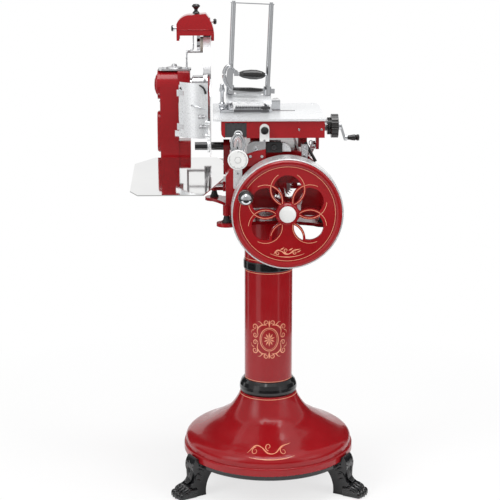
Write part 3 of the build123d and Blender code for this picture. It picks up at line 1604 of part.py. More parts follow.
def sharpener_hood():
    """The red hood over the two stones, open below."""
    wall = 4.0
    hood = prism_y(hood_outline(0), HOOD_FRONT, HOOD_BACK)
    hood -= prism_y(hood_outline(wall), HOOD_FRONT + wall, HOOD_BACK - wall)
    hood -= block(HOOD_LEFT - 5, HOOD_RIGHT + 5, HOOD_FRONT - 5, HOOD_BACK + 5, HOOD_Z - 40, HOOD_Z - 16)
    hood -= block(HOOD_LEFT + 9, HOOD_RIGHT - 9, HOOD_FRONT - 5, HOOD_BACK + 5, HOOD_Z - 40, HOOD_Z)
    # the post that stands on the blade guard's seat
    hood += block(GUARD_LEFT + 3, GUARD_RIGHT - 1, CROSS_Y - 14, CROSS_Y + 14, HOOD_Z + 12, 1458)
    hood -= rod_x(STONE_ROD_R + RUN, HOOD_LEFT - 20, HOOD_LEFT + 20, CROSS_Y, STONE_ROD_Z)
    hood -= rod_z(HOOD_SCREW_R + RUN, 1440, 1500, HOOD_KNOB_X, CROSS_Y)
    hood -= rod_x(BURR_ROD_R + RUN, -190, HOOD_RIGHT + 12, BURR_Y, BURR_Z)
    return hood


def hood_knob():
    return Pos(HOOD_KNOB_X, CROSS_Y, 0) * turned(
        [
            (0, 1452),
            (HOOD_SCREW_R, 1452),
            (HOOD_SCREW_R, 1470.5),
            (11, 1470.5),
            (11, 1474),
            (5.5, 1480),
            (5.5, 1484),
            (12, 1492),
            (12, 1496),
            (8, 1500),
            (0, 1501),
        ]
    )


def stone_carrier():
    """The push rod with its knob, the arm and the spindle of the grinding stone."""
    y = CROSS_Y
    knob = HOOD_LEFT - STONE_STROKE - 0.5
    right = STONE_X - STONE_T - 0.5
    left = right - 10
    carrier = rod_x(STONE_ROD_R, knob - 1, right, y, STONE_ROD_Z)
    outline = [(0, knob - 9), (7, knob - 8), (9, knob - 4), (9, knob), (0, knob)]
    carrier += turned_x(outline, y, STONE_ROD_Z)
    carrier += block(left, right, y - 9, y + 9, STONE_Z - 4, STONE_ROD_Z + 7)
    carrier += rod_x(20, left, right, y, STONE_Z)
    return carrier + rod_x(STONE_PIN_R, left + 8, STONE_X + 1, y, STONE_Z)


def grinding_stone():
    return tube_x(STONE_R, STONE_PIN_R + RUN, STONE_X - STONE_T, STONE_X, CROSS_Y, STONE_Z)


def burr_carrier():
    """The rod, bent arm and small stone on the other side of the edge, with its own knob."""
    y = BURR_Y
    arm = polygon(
        [
            (-187, 1450),
            (-183, 1450),
            (-183, 1420),
            (-172.4, 1409),
            (-172.4, 1387),
            (-176.4, 1387),
            (-176.4, 1405),
            (-187, 1413),
        ]
    )
    carrier = prism_y(arm, y - 4.5, y + 4.5)
    carrier += rod_x(BURR_ROD_R, -187, -160, y, BURR_Z)
    carrier += turned_x(
        [(0, -168), (7, -168), (8.5, -165), (8.5, -161), (6, -158), (0, -158)], y, BURR_Z
    )
    return carrier + rod_x(7, -176.4, -172.4, y, 1389)


# ======================= crank handle =======================
def handle_place():
    x, z = polar(HANDLE_AT, HANDLE_ANGLE)
    return SHAFT_X + x, SHAFT_Z + z


def handle_spindle():
    """The steel spindle of the crank handle, with its bright end cap."""
    x, z = handle_place()
    front = WHEEL_FRONT
    tip = front - 4 - GRIP_LENGTH - GAP
    return turned_y(
        [
            (0, tip - 7),
            (10, tip - 6),
            (15, tip - 2),
            (15, tip),
            (SPINDLE_R, tip),
            (SPINDLE_R, front - 3.7),
            (SPINDLE_R + 6, front - 3.7),
            (SPINDLE_R + 6, front),
            (SPINDLE_R, front),
            (SPINDLE_R, front + 18),
            (0, front + 18),
        ],
        x,
        z,
    )


def handle_grip():
    x, z = handle_place()
    back = WHEEL_FRONT - 4
    bore = SPINDLE_R + RUN
    front = back - GRIP_LENGTH
    outline = make_face(
        Line((bore, 0, back), (12, 0, back))
        + Spline(
            (12, 0, back),
            (15, 0, back - 30),
            (GRIP_R, 0, back - 66),
            (GRIP_R - 2, 0, front + 8),
            (16, 0, front),
        )
        + Line((16, 0, front), (bore, 0, front))
        + Line((bore, 0, front), (bore, 0, back))
    )
    grip = revolve(outline, Axis.Z)
    return Pos(x, 0, z) * Rot(-90, 0, 0) * grip


# ======================= all pieces =======================
PIECES = [
    # the fixed machine and its pedestal
    pedestal_feet,
    base_flare,
    column_collars,
    column,
    head_plate,
    machine_feet,
    base_frame,
    carriage_rails,
    rail_brackets,
    chain_case,
    case_cover,
    bearing_cap,
    case_top,
    blade_guard,
    dial_stand,
    receiving_tray,
    drive_chain,
    sharpener_hood,
    # the hand wheel and the drive
    flywheel,
    rim_band,
    hub_cap,
    main_shaft,
    bevel_gear,
    handle_spindle,
    handle_grip,
    cross_shaft,
    bevel_pinion,
    lower_sprocket,
    crank_gear,
    crank_arm,
    connecting_rod,
    upper_sprocket,
    blade_shaft,
    blade_hub,
    blade,
    # what the hand sets
    deflector_plate,
    gauge_plate,
    gauge_bar,
    thickness_dial,
    hood_knob,
    stone_carrier,
    grinding_stone,
    burr_carrier,
    # the carriage
    carriage_body,
    meat_table,
    screw_bearing,
    stop_plate,
    index_knob,
    feed_screw,
    feed_wheel,
    feed_crank,
    crank_grip,
    clamp_base,
    clamp_posts,
    clamp_slide,
    hold_bar,
    press_plate,
    clamp_lever,
    clamp_grip,
    clamp_knob,
]

os.makedirs("parts", exist_ok=True)
for piece in PIECES:
    export_step(Pos(FRAME_X, FRAME_Y, 0) * piece(), f"parts/{piece.__name__}.step")
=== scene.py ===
import bmesh
import bpy
import json
from math import cos, hypot, pi, radians, sin
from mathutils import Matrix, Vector
from mathutils.bvhtree import BVHTree


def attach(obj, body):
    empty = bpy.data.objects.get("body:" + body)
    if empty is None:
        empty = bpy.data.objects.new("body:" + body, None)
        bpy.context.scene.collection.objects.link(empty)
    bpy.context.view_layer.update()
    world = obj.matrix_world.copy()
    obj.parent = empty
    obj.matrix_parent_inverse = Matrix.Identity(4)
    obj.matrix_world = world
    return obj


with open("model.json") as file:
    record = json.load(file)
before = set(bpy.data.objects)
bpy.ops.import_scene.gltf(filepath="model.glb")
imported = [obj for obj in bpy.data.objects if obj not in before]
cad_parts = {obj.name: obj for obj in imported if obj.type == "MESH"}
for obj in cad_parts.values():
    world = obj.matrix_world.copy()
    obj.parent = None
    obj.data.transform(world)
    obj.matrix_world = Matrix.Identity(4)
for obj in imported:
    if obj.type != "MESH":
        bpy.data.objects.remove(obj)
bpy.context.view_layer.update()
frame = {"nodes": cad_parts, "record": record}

# ---- the CAD frame's shift from the column's axis, mm, as in the part's source ----
SHIFT_X = 52.9
SHIFT_Y = 17.0

# ---- sizes shared with the solids, mm ----
WHEEL_X, WHEEL_Z = 44.0, 925.0
WHEEL_FRONT = -278.0
WEB_FRONT = WHEEL_FRONT + 6.0
PETAL_AT, PETAL_R = 74.3, 49.4
HUB_R = 32.0
COLUMN_R = 75.0
BLADE_Y, BLADE_Z = 190.0, 1249.4
CAP_R = 24.5
RIM_R, RIM_FRONT = 162.0, WHEEL_FRONT + 4.6
RING_LINE_R = 139.5
PETAL_LINE_GAP = radians(32)
HANDLE = (WHEEL_X + 139.0 * cos(radians(152)), WHEEL_Z + 139.0 * sin(radians(152)))
HANDLE_TIP = WHEEL_FRONT - 4.0 - 92.0 - 0.3 - 4.8
COLUMN_LINES = (345.5, 695.0, 735.0)
FLARE_LINE_R, FLARE_LINE_Z = 90.9, 292.0
ORNAMENT_Z = 485.0
BASE_MARK_Z = 175.0
PAW_REACH, PAW_STEP = 348.0, 15.0
CASE_LEFT = -331.0
FRAME_FRONT = -165.0
RAIL_X, RAIL_Z = (-45.0, 98.0), 1105.0
HOOD_FRONT, HOOD_BACK, HOOD_LEFT, HOOD_RIGHT = 152.0, 228.0, -283.0, -166.0
DIAL_X, DIAL_Z, DIAL_R, DIAL_FRONT = -99.0, 1076.0, 29.5, -222.0
GAUGE_RIGHT = -176.8
BODY_FRONT, BODY_RIGHT, BODY_HIGH = -200.0, 155.0, 1187.0
TABLE_T = 6.0
SCREW_Y, SCREW_Z = -20.0, 1146.0
POST_LEFT, POST_RIGHT = -121.0, -8.5
CLAMP_LEAN = 2.5
BURR_Y, BURR_Z = 216.0, 1444.0
CASE_TOP_Z = BLADE_Z + 51.0
HOOD_BEAD_Z = 1422.5
HOOD_KNOB_X = -222.0
DISH_X, DISH_SCREWS_R = -188.0, 34.0
SIDE_SCREW_X, SIDE_SCREW_Y, SIDE_SCREW_R = -143.0, SCREW_Y - 24.0, 9.5
INDEX_X, INDEX_Z = -21.0, 1161.0
SHIELD_Y = 57.6
BASE_SCROLL_R = 150.0

# ---- the height of paint on its face, mm, and the direction of the machine's front ----
PAINT = 0.3
FRONT = Vector((0, -1, 0))

# ---- cards for reflections only: dark low in front and at the sides behind, two bright strips.
# Name, start and end in degrees, radius, foot and top in metres, strength ----
CARDS = (
    ("dark_front", -112, 118, 1.7, 0.0, 0.66, 0.04),
    ("pale_front", -112, 118, 1.7, 0.66, 3.0, 0.5),
    ("dark_left", -152, -122, 1.7, 0.0, 3.0, 0.03),
    ("dark_right", 122, 152, 1.7, 0.0, 3.0, 0.03),
    ("left_strip", -62, -38, 1.6, 0.0, 2.6, 1.0),
    ("right_strip", 44, 52, 1.6, 0.0, 2.6, 0.9),
)

# ---- lamps: name, place, target and size in metres, power in watts ----
LAMPS = (
    ("key", (-2.6, -1.8, 2.6), (0, 0, 0.8), (1.2, 2.4), 60.0),
    ("fill", (2.8, -1.4, 2.2), (0, 0, 0.8), (1.0, 2.4), 40.0),
    ("top", (0.2, -0.6, 3.6), (0, 0, 0.6), (2.2, 1.6), 45.0),
)
WORLD_LIGHT = 0.55
FLOOR_HALF = 9.0


def at(x, y, z):
    """A point in mm from the column's axis, given in metres in the shared frame."""
    return Vector(((x + SHIFT_X) / 1000, (y + SHIFT_Y) / 1000, z / 1000))


# ======================= camera =======================
def set_camera():
    """The photograph's camera, solved from the picture: places in mm from the column's axis."""
    height, distance, side = 1766.0, 4249.0, 58.0
    pitch, yaw = radians(13.4), radians(1.5)
    focal_px, frame_px = 1400.0, 500.0
    x = -distance * sin(yaw) - side * cos(yaw)
    y = -distance * cos(yaw) + side * sin(yaw)
    data = bpy.data.cameras.new("camera")
    data.sensor_width = 36.0
    data.lens = 36.0 * focal_px / frame_px
    data.clip_end = 50.0
    camera = bpy.data.objects.new("camera", data)
    camera.location = at(x, y, height)
    camera.rotation_euler = (pi / 2 - pitch, 0, -yaw)
    bpy.context.scene.collection.objects.link(camera)
    bpy.context.scene.camera = camera


# ======================= materials =======================
def shader(name):
    """A new node material with its Principled shader."""
    material = bpy.data.materials.new(name)
    material.use_nodes = True
    return material, material.node_tree.nodes["Principled BSDF"]


def link(material, a, b):
    material.node_tree.links.new(a, b)


def node(material, kind, **values):
    made = material.node_tree.nodes.new(kind)
    for key, value in values.items():
        if key in made.inputs:
            made.inputs[key].default_value = value
        else:
            setattr(made, key, value)
    return made


def coords(material, stretch=(1, 1, 1)):
    """Object coordinates, in metres, stretched for brushed marks."""
    place = node(material, "ShaderNodeTexCoord")
    scale = node(material, "ShaderNodeMapping")
    scale.inputs["Scale"].default_value = stretch
    link(material, place.outputs["Object"], scale.inputs["Vector"])
    return scale.outputs["Vector"]


def noise(material, vector, scale, detail=3.0, rough=0.5):
    made = node(material, "ShaderNodeTexNoise", Scale=scale, Detail=detail, Roughness=rough)
    link(material, vector, made.inputs["Vector"])
    return made.outputs["Fac"]


def ramp(material, value, low, high, at_low=0.3, at_high=0.7):
    """Maps a value to a colour between two colours."""
    made = node(material, "ShaderNodeValToRGB")
    made.color_ramp.elements[0].position = at_low
    made.color_ramp.elements[0].color = (*low, 1)
    made.color_ramp.elements[1].position = at_high
    made.color_ramp.elements[1].color = (*high, 1)
    link(material, value, made.inputs["Fac"])
    return made.outputs["Color"]


def spread(material, value, low, high):
    """Maps noise from 0.3 to 0.7 onto a range of a shader's socket."""
    made = node(material, "ShaderNodeMapRange")
    made.inputs["From Min"].default_value = 0.3
    made.inputs["From Max"].default_value = 0.7
    made.inputs["To Min"].default_value = low
    made.inputs["To Max"].default_value = high
    link(material, value, made.inputs["Value"])
    return made.outputs["Result"]


def bump(material, bsdf, height, strength, distance=0.0004):
    made = node(material, "ShaderNodeBump", Strength=strength, Distance=distance)
    link(material, height, made.inputs["Height"])
    link(material, made.outputs["Normal"], bsdf.inputs["Normal"])


def enamel(name, deep, light, rough=0.2, coat=0.6, wave=0.02):
    """Thick sprayed paint: clouds of colour, a faint orange peel and a clear coat."""
    material, bsdf = shader(name)
    place = coords(material)
    colour = ramp(material, noise(material, place, 9.0), deep, light)
    link(material, colour, bsdf.inputs["Base Color"])
    fine = noise(material, place, 30.0, 1.0)
    link(material, spread(material, fine, rough - 0.03, rough + 0.04), bsdf.inputs["Roughness"])
    bsdf.inputs["Specular IOR Level"].default_value = 0.3
    bsdf.inputs["Coat Weight"].default_value = coat
    bsdf.inputs["Coat Roughness"].default_value = 0.05
    bump(material, bsdf, noise(material, place, 40.0, 1.0), wave)
    return material


def metal(name, low, high, rough, stretch=(1, 1, 1), grain=220.0, marks=0.05, share=1.0):
    """Bare or plated metal: soft clouds, fine marks in the direction of finishing. A satin
    finish has a smaller share of mirror."""
    material, bsdf = shader(name)
    bsdf.inputs["Metallic"].default_value = share
    place = coords(material, stretch)
    plain = coords(material)
    colour = ramp(material, noise(material, plain, 5.0), low, high)
    link(material, colour, bsdf.inputs["Base Color"])
    lines = noise(material, place, grain, 4.0, 0.6)
    link(material, spread(material, lines, rough * 0.7, rough * 1.4), bsdf.inputs["Roughness"])
    bump(material, bsdf, lines, marks, 0.0002)
    return material


def plastic(name, low, high, rough, grain=60.0, marks=0.04, coat=0.3):
    """Plastic, rubber or plain paint: even colour with a fine grain."""
    material, bsdf = shader(name)
    place = coords(material)
    colour = ramp(material, noise(material, place, 14.0), low, high)
    link(material, colour, bsdf.inputs["Base Color"])
    fine = noise(material, place, grain, 3.0)
    link(material, spread(material, fine, rough * 0.8, rough * 1.25), bsdf.inputs["Roughness"])
    bsdf.inputs["Coat Weight"].default_value = coat
    bsdf.inputs["Coat Roughness"].default_value = 0.08
    bump(material, bsdf, fine, marks)
    return material


def grit(name, low, high):
    """Bonded abrasive: pale grains in a darker bond."""
    material, bsdf = shader(name)
    place = coords(material)
    cells = node(material, "ShaderNodeTexVoronoi", Scale=900.0)
    link(material, place, cells.inputs["Vector"])
    colour = ramp(material, cells.outputs["Distance"], low, high, 0.1, 0.6)
    link(material, colour, bsdf.inputs["Base Color"])
    bsdf.inputs["Roughness"].default_value = 0.85
    bump(material, bsdf, cells.outputs["Distance"], 0.5, 0.0005)
    return material


# how each is made, its name, its two colours and what differs from the maker's defaults
RECIPES = (
    (enamel, "red_enamel", (0.270, 0.004, 0.007), (0.310, 0.006, 0.010), dict(coat=0.25)),
    (enamel, "black_iron", (0.005, 0.005, 0.006), (0.010, 0.010, 0.011), dict(wave=0.05)),
    (metal, "grey_cast", (0.50, 0.50, 0.51), (0.62, 0.62, 0.63),
     dict(rough=0.34, grain=160.0, marks=0.15)),
    (metal, "bright_steel", (0.62, 0.62, 0.63), (0.74, 0.74, 0.75),
     dict(rough=0.2, stretch=(1, 1, 8))),
    (metal, "dark_steel", (0.10, 0.10, 0.105), (0.17, 0.17, 0.175), dict(rough=0.35, marks=0.1)),
    (metal, "mirror_steel", (0.80, 0.80, 0.80), (0.86, 0.86, 0.85),
     dict(rough=0.05, stretch=(1, 12, 1), grain=160.0, marks=0.01)),
    (metal, "chrome", (0.62, 0.63, 0.65), (0.70, 0.71, 0.73),
     dict(rough=0.08, grain=90.0, marks=0.01)),
    (metal, "pale_steel", (0.72, 0.73, 0.74), (0.78, 0.79, 0.80),
     dict(rough=0.3, stretch=(8, 1, 1), grain=200.0, marks=0.02, share=0.45)),
    (metal, "polished_rim", (0.70, 0.70, 0.71), (0.80, 0.80, 0.81),
     dict(rough=0.22, grain=60.0, marks=0.01, share=0.5)),
    (metal, "blade_steel", (0.66, 0.66, 0.67), (0.78, 0.78, 0.79),
     dict(rough=0.14, grain=260.0, marks=0.03)),
    (plastic, "black_grip", (0.006, 0.006, 0.006), (0.016, 0.015, 0.015), dict(rough=0.2)),
    (plastic, "white_paint", (0.74, 0.74, 0.73), (0.80, 0.80, 0.79), dict(rough=0.3)),
    (plastic, "rubber_foot", (0.012, 0.012, 0.012), (0.024, 0.023, 0.022),
     dict(rough=0.6, grain=300.0, marks=0.2, coat=0.0)),
    (grit, "stone", (0.16, 0.13, 0.11), (0.52, 0.46, 0.40), {}),
    (plastic, "gold_line", (0.72, 0.27, 0.15), (0.84, 0.36, 0.22), dict(rough=0.35)),
)
MATERIALS = {name: make(name, low, high, **rest) for make, name, low, high, rest in RECIPES}

# nodes that the photograph shows in another finish than their slot of the record
OWN_LOOKS = {
    "hub_cap": "white_paint",
    "thickness_dial": "white_paint",
    "clamp_knob": "white_paint",
    "stop_plate": "white_paint",
    "rim_band": "polished_rim",
    "press_plate": "pale_steel",
    "dial_stand": "pale_steel",
    "blade_guard": "grey_cast",
}


def dress_nodes():
    """Gives every node of the solids its material."""
    slots = {part["node"]: part["material_slot"] for part in frame["record"]["subparts"]}
    for name, obj in frame["nodes"].items():
        material = MATERIALS[OWN_LOOKS.get(name, slots[name])]
        if not obj.data.materials:
            obj.data.materials.append(material)
        for slot in obj.material_slots:
            slot.link = "OBJECT"
            slot.material = material


# ======================= pieces =======================
def add_piece(name, shape, body, *materials):
    """Makes a finished bmesh an object that rides on a body. Faces hold the material's index."""
    mesh = bpy.data.meshes.new(name)
    shape.to_mesh(mesh)
    shape.free()
    obj = bpy.data.objects.new(name, mesh)
    bpy.context.scene.collection.objects.link(obj)
    for material in materials:
        mesh.materials.append(MATERIALS[material])
    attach(obj, body)


def lathe(shape, points, centre, axis, turns=32):
    """A closed round body: (radius, height) points, in mm, turned about an axis from centre."""
    up = Vector(axis).normalized()
    across = up.orthogonal().normalized()
    side = up.cross(across)
    base = at(*centre)
    rings = []
    for radius, height in points:
        count = 1 if radius < 1e-6 else turns
        ring = []
        for i in range(count):
            angle = 2 * pi * i / turns
            out = across * cos(angle) + side * sin(angle)
            ring.append(shape.verts.new(base + (up * height + out * radius) / 1000))
        rings.append(ring)
    made = []
    for low, high in zip(rings, rings[1:]):
        for i in range(turns):
            j = (i + 1) % turns
            if len(low) == 1 and len(high) == 1:
                continue
            if len(low) == 1:
                made.append(shape.faces.new((low[0], high[j], high[i])))
            elif len(high) == 1:
                made.append(shape.faces.new((low[i], low[j], high[0])))
            else:
                made.append(shape.faces.new((low[i], low[j], high[j], high[i])))
    for ring in (rings[0], rings[-1]):
        if len(ring) > 1:
            made.append(shape.faces.new(ring))
    for face in made:
        face.smooth = len(face.verts) < 5
    bmesh.ops.recalc_face_normals(shape, faces=made)


def swept(shape, points, radii, sides=12, flat=1.0, up=(0, 0, 1)):
    """A round bar along points in metres. flat squeezes it along its own upward side."""
    rings = []
    last = len(points) - 1
    for i, (point, radius) in enumerate(zip(points, radii)):
        along = (points[min(i + 1, last)] - points[max(i - 1, 0)]).normalized()
        side = along.cross(Vector(up))
        if side.length < 1e-4:
            side = along.cross(Vector((1, 0, 0)))
        side.normalize()
        over = side.cross(along)
        ring = []
        for k in range(sides):
            angle = 2 * pi * k / sides
            out = side * cos(angle) + over * sin(angle) * flat
            ring.append(shape.verts.new(point + out * radius / 1000))
        rings.append(ring)
    made = []
    for low, high in zip(rings, rings[1:]):
        for i in range(sides):
            j = (i + 1) % sides
            made.append(shape.faces.new((low[i], low[j], high[j], high[i])))
    made.append(shape.faces.new(rings[0]))
    made.append(shape.faces.new(rings[-1]))
    for face in made:
        face.smooth = len(face.verts) < 5
    bmesh.ops.recalc_face_normals(shape, faces=made)


def curve(points, steps=8):
    """Points on a smooth line through the given ones (Catmull-Rom)."""
    points = [Vector(p) for p in points]
    padded = [points[0] * 2 - points[1]] + points + [points[-1] * 2 - points[-2]]
    line = []
    for a, b, c, d in zip(padded, padded[1:], padded[2:], padded[3:]):
        for i in range(steps):
            t = i / steps
            line.append(
                0.5
                * (
                    2 * b
                    + (c - a) * t
                    + (2 * a - 5 * b + 4 * c - d) * t * t
                    + (3 * b - a - 3 * c + d) * t * t * t
                )
            )
    line.append(points[-1])
    return line


def slab(shape, outline, normal, depth, edge, index=0):
    """A plate with a small bevel: outline in metres on its outer face, depth and bevel in mm."""
    down = Vector(normal).normalized() * (-depth / 1000)
    middle = sum(outline, Vector()) / len(outline)
    outer = []
    for point in outline:
        inward = (middle - point).normalized() * edge / 1000
        outer.append(shape.verts.new(point + inward))
    rim = [shape.verts.new(p + down.normalized() * edge / 1000) for p in outline]
    back = [shape.verts.new(p + down) for p in outline]
    made = [shape.faces.new(outer), shape.faces.new(back)]
    for low, high in ((outer, rim), (rim, back)):
        for i in range(len(low)):
            j = (i + 1) % len(low)
            made.append(shape.faces.new((low[i], low[j], high[j], high[i])))
    for face in made:
        face.material_index = index
    bmesh.ops.recalc_face_normals(shape, faces=made)


def screw(shape, centre, axis, radius, turn=0.0, kind="slot"):
    """A screw's head on a face: a slotted dome, or a six-sided head on a washer."""
    up = Vector(axis).normalized()
    across = up.orthogonal().normalized()
    side = up.cross(across)
    if kind == "slot":
        height = radius * 0.45
        lathe(
            shape,
            [(radius, -0.3), (radius, height * 0.5), (radius * 0.8, height * 0.9), (0, height)],
            centre,
            axis,
            20,
        )
        along = across * cos(turn) + side * sin(turn)
        wide = up.cross(along)
        top = at(*centre) + up * (height * 1.03 + 0.05) / 1000
        corners = []
        for a, b in ((-1, -1), (1, -1), (1, 1), (-1, 1)):
            corners.append(top + (along * a * radius * 0.78 + wide * b * radius * 0.13) / 1000)
        slab(shape, corners, up, height * 0.3, 0.05, 1)
    else:
        washer = [(radius * 1.25, -0.3), (radius * 1.25, 0.8), (radius, 1.0), (0, 1.0)]
        lathe(shape, washer, centre, axis, 24)
        corners = []
        for i in range(6):
            angle = turn + pi / 3 * i
            out = across * cos(angle) + side * sin(angle)
            corners.append(at(*centre) + (up * (radius * 0.75) + out * radius) / 1000)
        slab(shape, corners, up, radius * 0.75 - 0.8, radius * 0.1)


def screws(name, body, spots):
    """All the screws of one body as one piece. Each spot is (centre, axis, radius, turn, kind)."""
    shape = bmesh.new()
    for centre, axis, radius, turn, kind in spots:
        screw(shape, centre, axis, radius, turn, kind)
    add_piece(name, shape, body, "chrome", "dark_steel")


def ring_points(x, y, z, wide, high, count):
    """A closed ring of points upright in the front view, from its middle and half sizes in mm."""
    angles = [2 * pi * i / count for i in range(count + 1)]
    return [at(x + wide * cos(angle), y, z + high * sin(angle)) for angle in angles]


# ======================= painted lines =======================
def ribbon(shape, line, widths, normals):
    """A flat painted line through points in metres, with a width in mm and the face's normal."""
    rows = []
    last = len(line) - 1
    for i, point in enumerate(line):
        along = (line[min(i + 1, last)] - line[max(i - 1, 0)]).normalized()
        side = along.cross(normals[i]).normalized() * widths[i] / 2000
        rows.append((shape.verts.new(point - side), shape.verts.new(point + side)))
    for (a, b), (c, d) in zip(rows, rows[1:]):
        shape.faces.new((a, b, d, c))


def widths_along(widths, count):
    """The widths at evenly spread points of a line, from a few given ones."""
    found = []
    for i in range(count):
        share = i / (count - 1) * (len(widths) - 1)
        k = min(int(share), len(widths) - 2)
        found.append(widths[k] + (widths[k + 1] - widths[k]) * (share - k))
    return found


def arcs_on_wheel(shape, radius, cx, cz, width, keep):
    """The kept runs of a circle on the wheel's web, about a centre in mm."""
    run = []
    for i in range(241):
        angle = 2 * pi * i / 240
        x, z = cx + radius * cos(angle), cz + radius * sin(angle)
        if keep(x - WHEEL_X, z - WHEEL_Z, angle):
            run.append(at(x, WEB_FRONT - PAINT, z))
        if run and (i == 240 or not keep(x - WHEEL_X, z - WHEEL_Z, angle)):
            if len(run) > 1:
                ribbon(shape, run, [width] * len(run), [FRONT] * len(run))
            run = []


def wheel_lines():
    """The gold lines of the wheel: a ring near the rim and the petal circles, open outwards."""
    shape = bmesh.new()
    arcs_on_wheel(shape, RING_LINE_R, WHEEL_X, WHEEL_Z, 1.5, lambda x, z, angle: True)
    for i in range(6):
        out = pi / 2 + i * pi / 3
        cx = WHEEL_X + PETAL_AT * cos(out)
        cz = WHEEL_Z + PETAL_AT * sin(out)
        gap = PETAL_LINE_GAP if i != 3 else 1.77

        def keep(x, z, angle, out=out, gap=gap):
            away = abs((angle - out + pi) % (2 * pi) - pi)
            return hypot(x, z) > HUB_R + 1.5 and away > gap

        arcs_on_wheel(shape, PETAL_R, cx, cz, 1.5, keep)
    add_piece("wheel_lines", shape, "wheel", "gold_line")


def ring_band(shape, radius, z, width, lean=0.0):
    """A painted ring round the pedestal. lean tilts it from upright, in radians."""
    rows = []
    half = width / 2
    for i in range(128):
        angle = 2 * pi * i / 128
        pair = []
        for sign in (-1, 1):
            r = radius - sign * half * sin(lean)
            h = z + sign * half * cos(lean)
            pair.append(shape.verts.new(at(r * cos(angle), r * sin(angle), h)))
        rows.append(pair)
    for i, (a, b) in enumerate(rows):
        c, d = rows[(i + 1) % 128]
        face = shape.faces.new((a, c, d, b))
        face.smooth = True


def pedestal_lines():
    """The gold rings round the column and the neck of the base."""
    shape = bmesh.new()
    for z in COLUMN_LINES:
        ring_band(shape, COLUMN_R + PAINT, z, 1.8)
    ring_band(shape, FLARE_LINE_R, FLARE_LINE_Z, 1.8, 0.32)
    add_piece("pedestal_lines", shape, "frame", "gold_line")


def on_column(u, z):
    """A point of the column's front and its normal: u in mm round the column, from its middle."""
    angle = u / COLUMN_R
    normal = Vector((sin(angle), -cos(angle), 0))
    out = COLUMN_R + PAINT
    return at(out * normal.x, out * normal.y, z), normal


def column_stroke(shape, points, widths):
    """A painted stroke on the column's front through (u, z) points, both ways of the middle."""
    both = any(abs(u) > 0.01 for u, z in points)
    for sign in (1, -1) if both else (1,):
        flat = curve([(sign * u, z, 0) for u, z in points], 6)
        line, normals = zip(*[on_column(point.x, point.y) for point in flat])
        ribbon(shape, line, widths_along(widths, len(flat)), normals)


def spiral(u, z, radius, start, turns, shrink=0.25):
    """(u, z) points of a scroll's curl that winds inwards."""
    points = []
    for i in range(13):
        t = i / 12
        r = radius * (1 - (1 - shrink) * t)
        angle = radians(start) + 2 * pi * turns * t
        points.append((u + r * cos(angle), z + r * sin(angle)))
    return points


def column_ornament():
    """A plain ornament in gold paint: an oval of two lines, leaf strokes and eight scrolls."""
    shape = bmesh.new()
    mid = ORNAMENT_Z
    for wide, high, line in ((29, 37, 2.4), (24.5, 32.5, 1.2)):
        points = []
        for i in range(25):
            angle = pi / 2 - pi * i / 24
            points.append((wide * cos(angle), mid + high * sin(angle)))
        column_stroke(shape, points, [line, line])
    for up in (1, -1):
        # the tall scroll beside the oval, with a curl at each end
        start = 200 if up > 0 else 160
        curls = (
            (spiral(47, mid + up * 38, 10, start, -1.3 * up), 3.2),
            (spiral(9, mid + up * 55, 8, -80 * up, 1.2 * up), 2.8),
            (spiral(46, mid + up * 12, 8.5, -170 * up, 1.25 * up), 3.0),
        )
        leaves = (
            (((21, 47), (30, 56), (37, 56)), [3.0, 1.6, 0.6]),
            (((50, 28), (59, 24), (61, 15)), [2.6, 1.6, 0.6]),
            (((0, 40), (0.8, 52), (0, 62)), [1.0, 4.2, 0.6]),
        )
        stem = [(8, mid + up * 47), (25, mid + up * 45), (38, mid + up * 31), (36, mid + up * 12)]
        column_stroke(shape, stem, [1.2, 3.6, 3.2, 1.4])
        for points, line in curls:
            column_stroke(shape, points, [line, 1.2])
        for points, lines in leaves:
            column_stroke(shape, [(u, mid + up * z) for u, z in points], lines)
        # a rosette of leaf strokes inside the oval
        for angle in (18, 54, 90):
            a = radians(angle)
            near = (3.2 * cos(a), mid + up * 3.2 * sin(a))
            far = (17 * cos(a), mid + up * 22 * sin(a))
            between = ((near[0] + far[0]) / 2, (near[1] + far[1]) / 2)
            column_stroke(shape, [near, between, far], [0.8, 4.6, 0.6])
    column_stroke(shape, spiral(0, mid, 2.2, 90, -1.0, 0.9), [1.8, 1.8])
    add_piece("column_ornament", shape, "frame", "gold_line")


# ======================= carved paws =======================
def turned_point(x, y, z, degrees_round):
    """A point of a paw that points along +X, turned to the paw's own direction."""
    a = radians(degrees_round)
    return at(x * cos(a) - y * sin(a), x * sin(a) + y * cos(a), z)


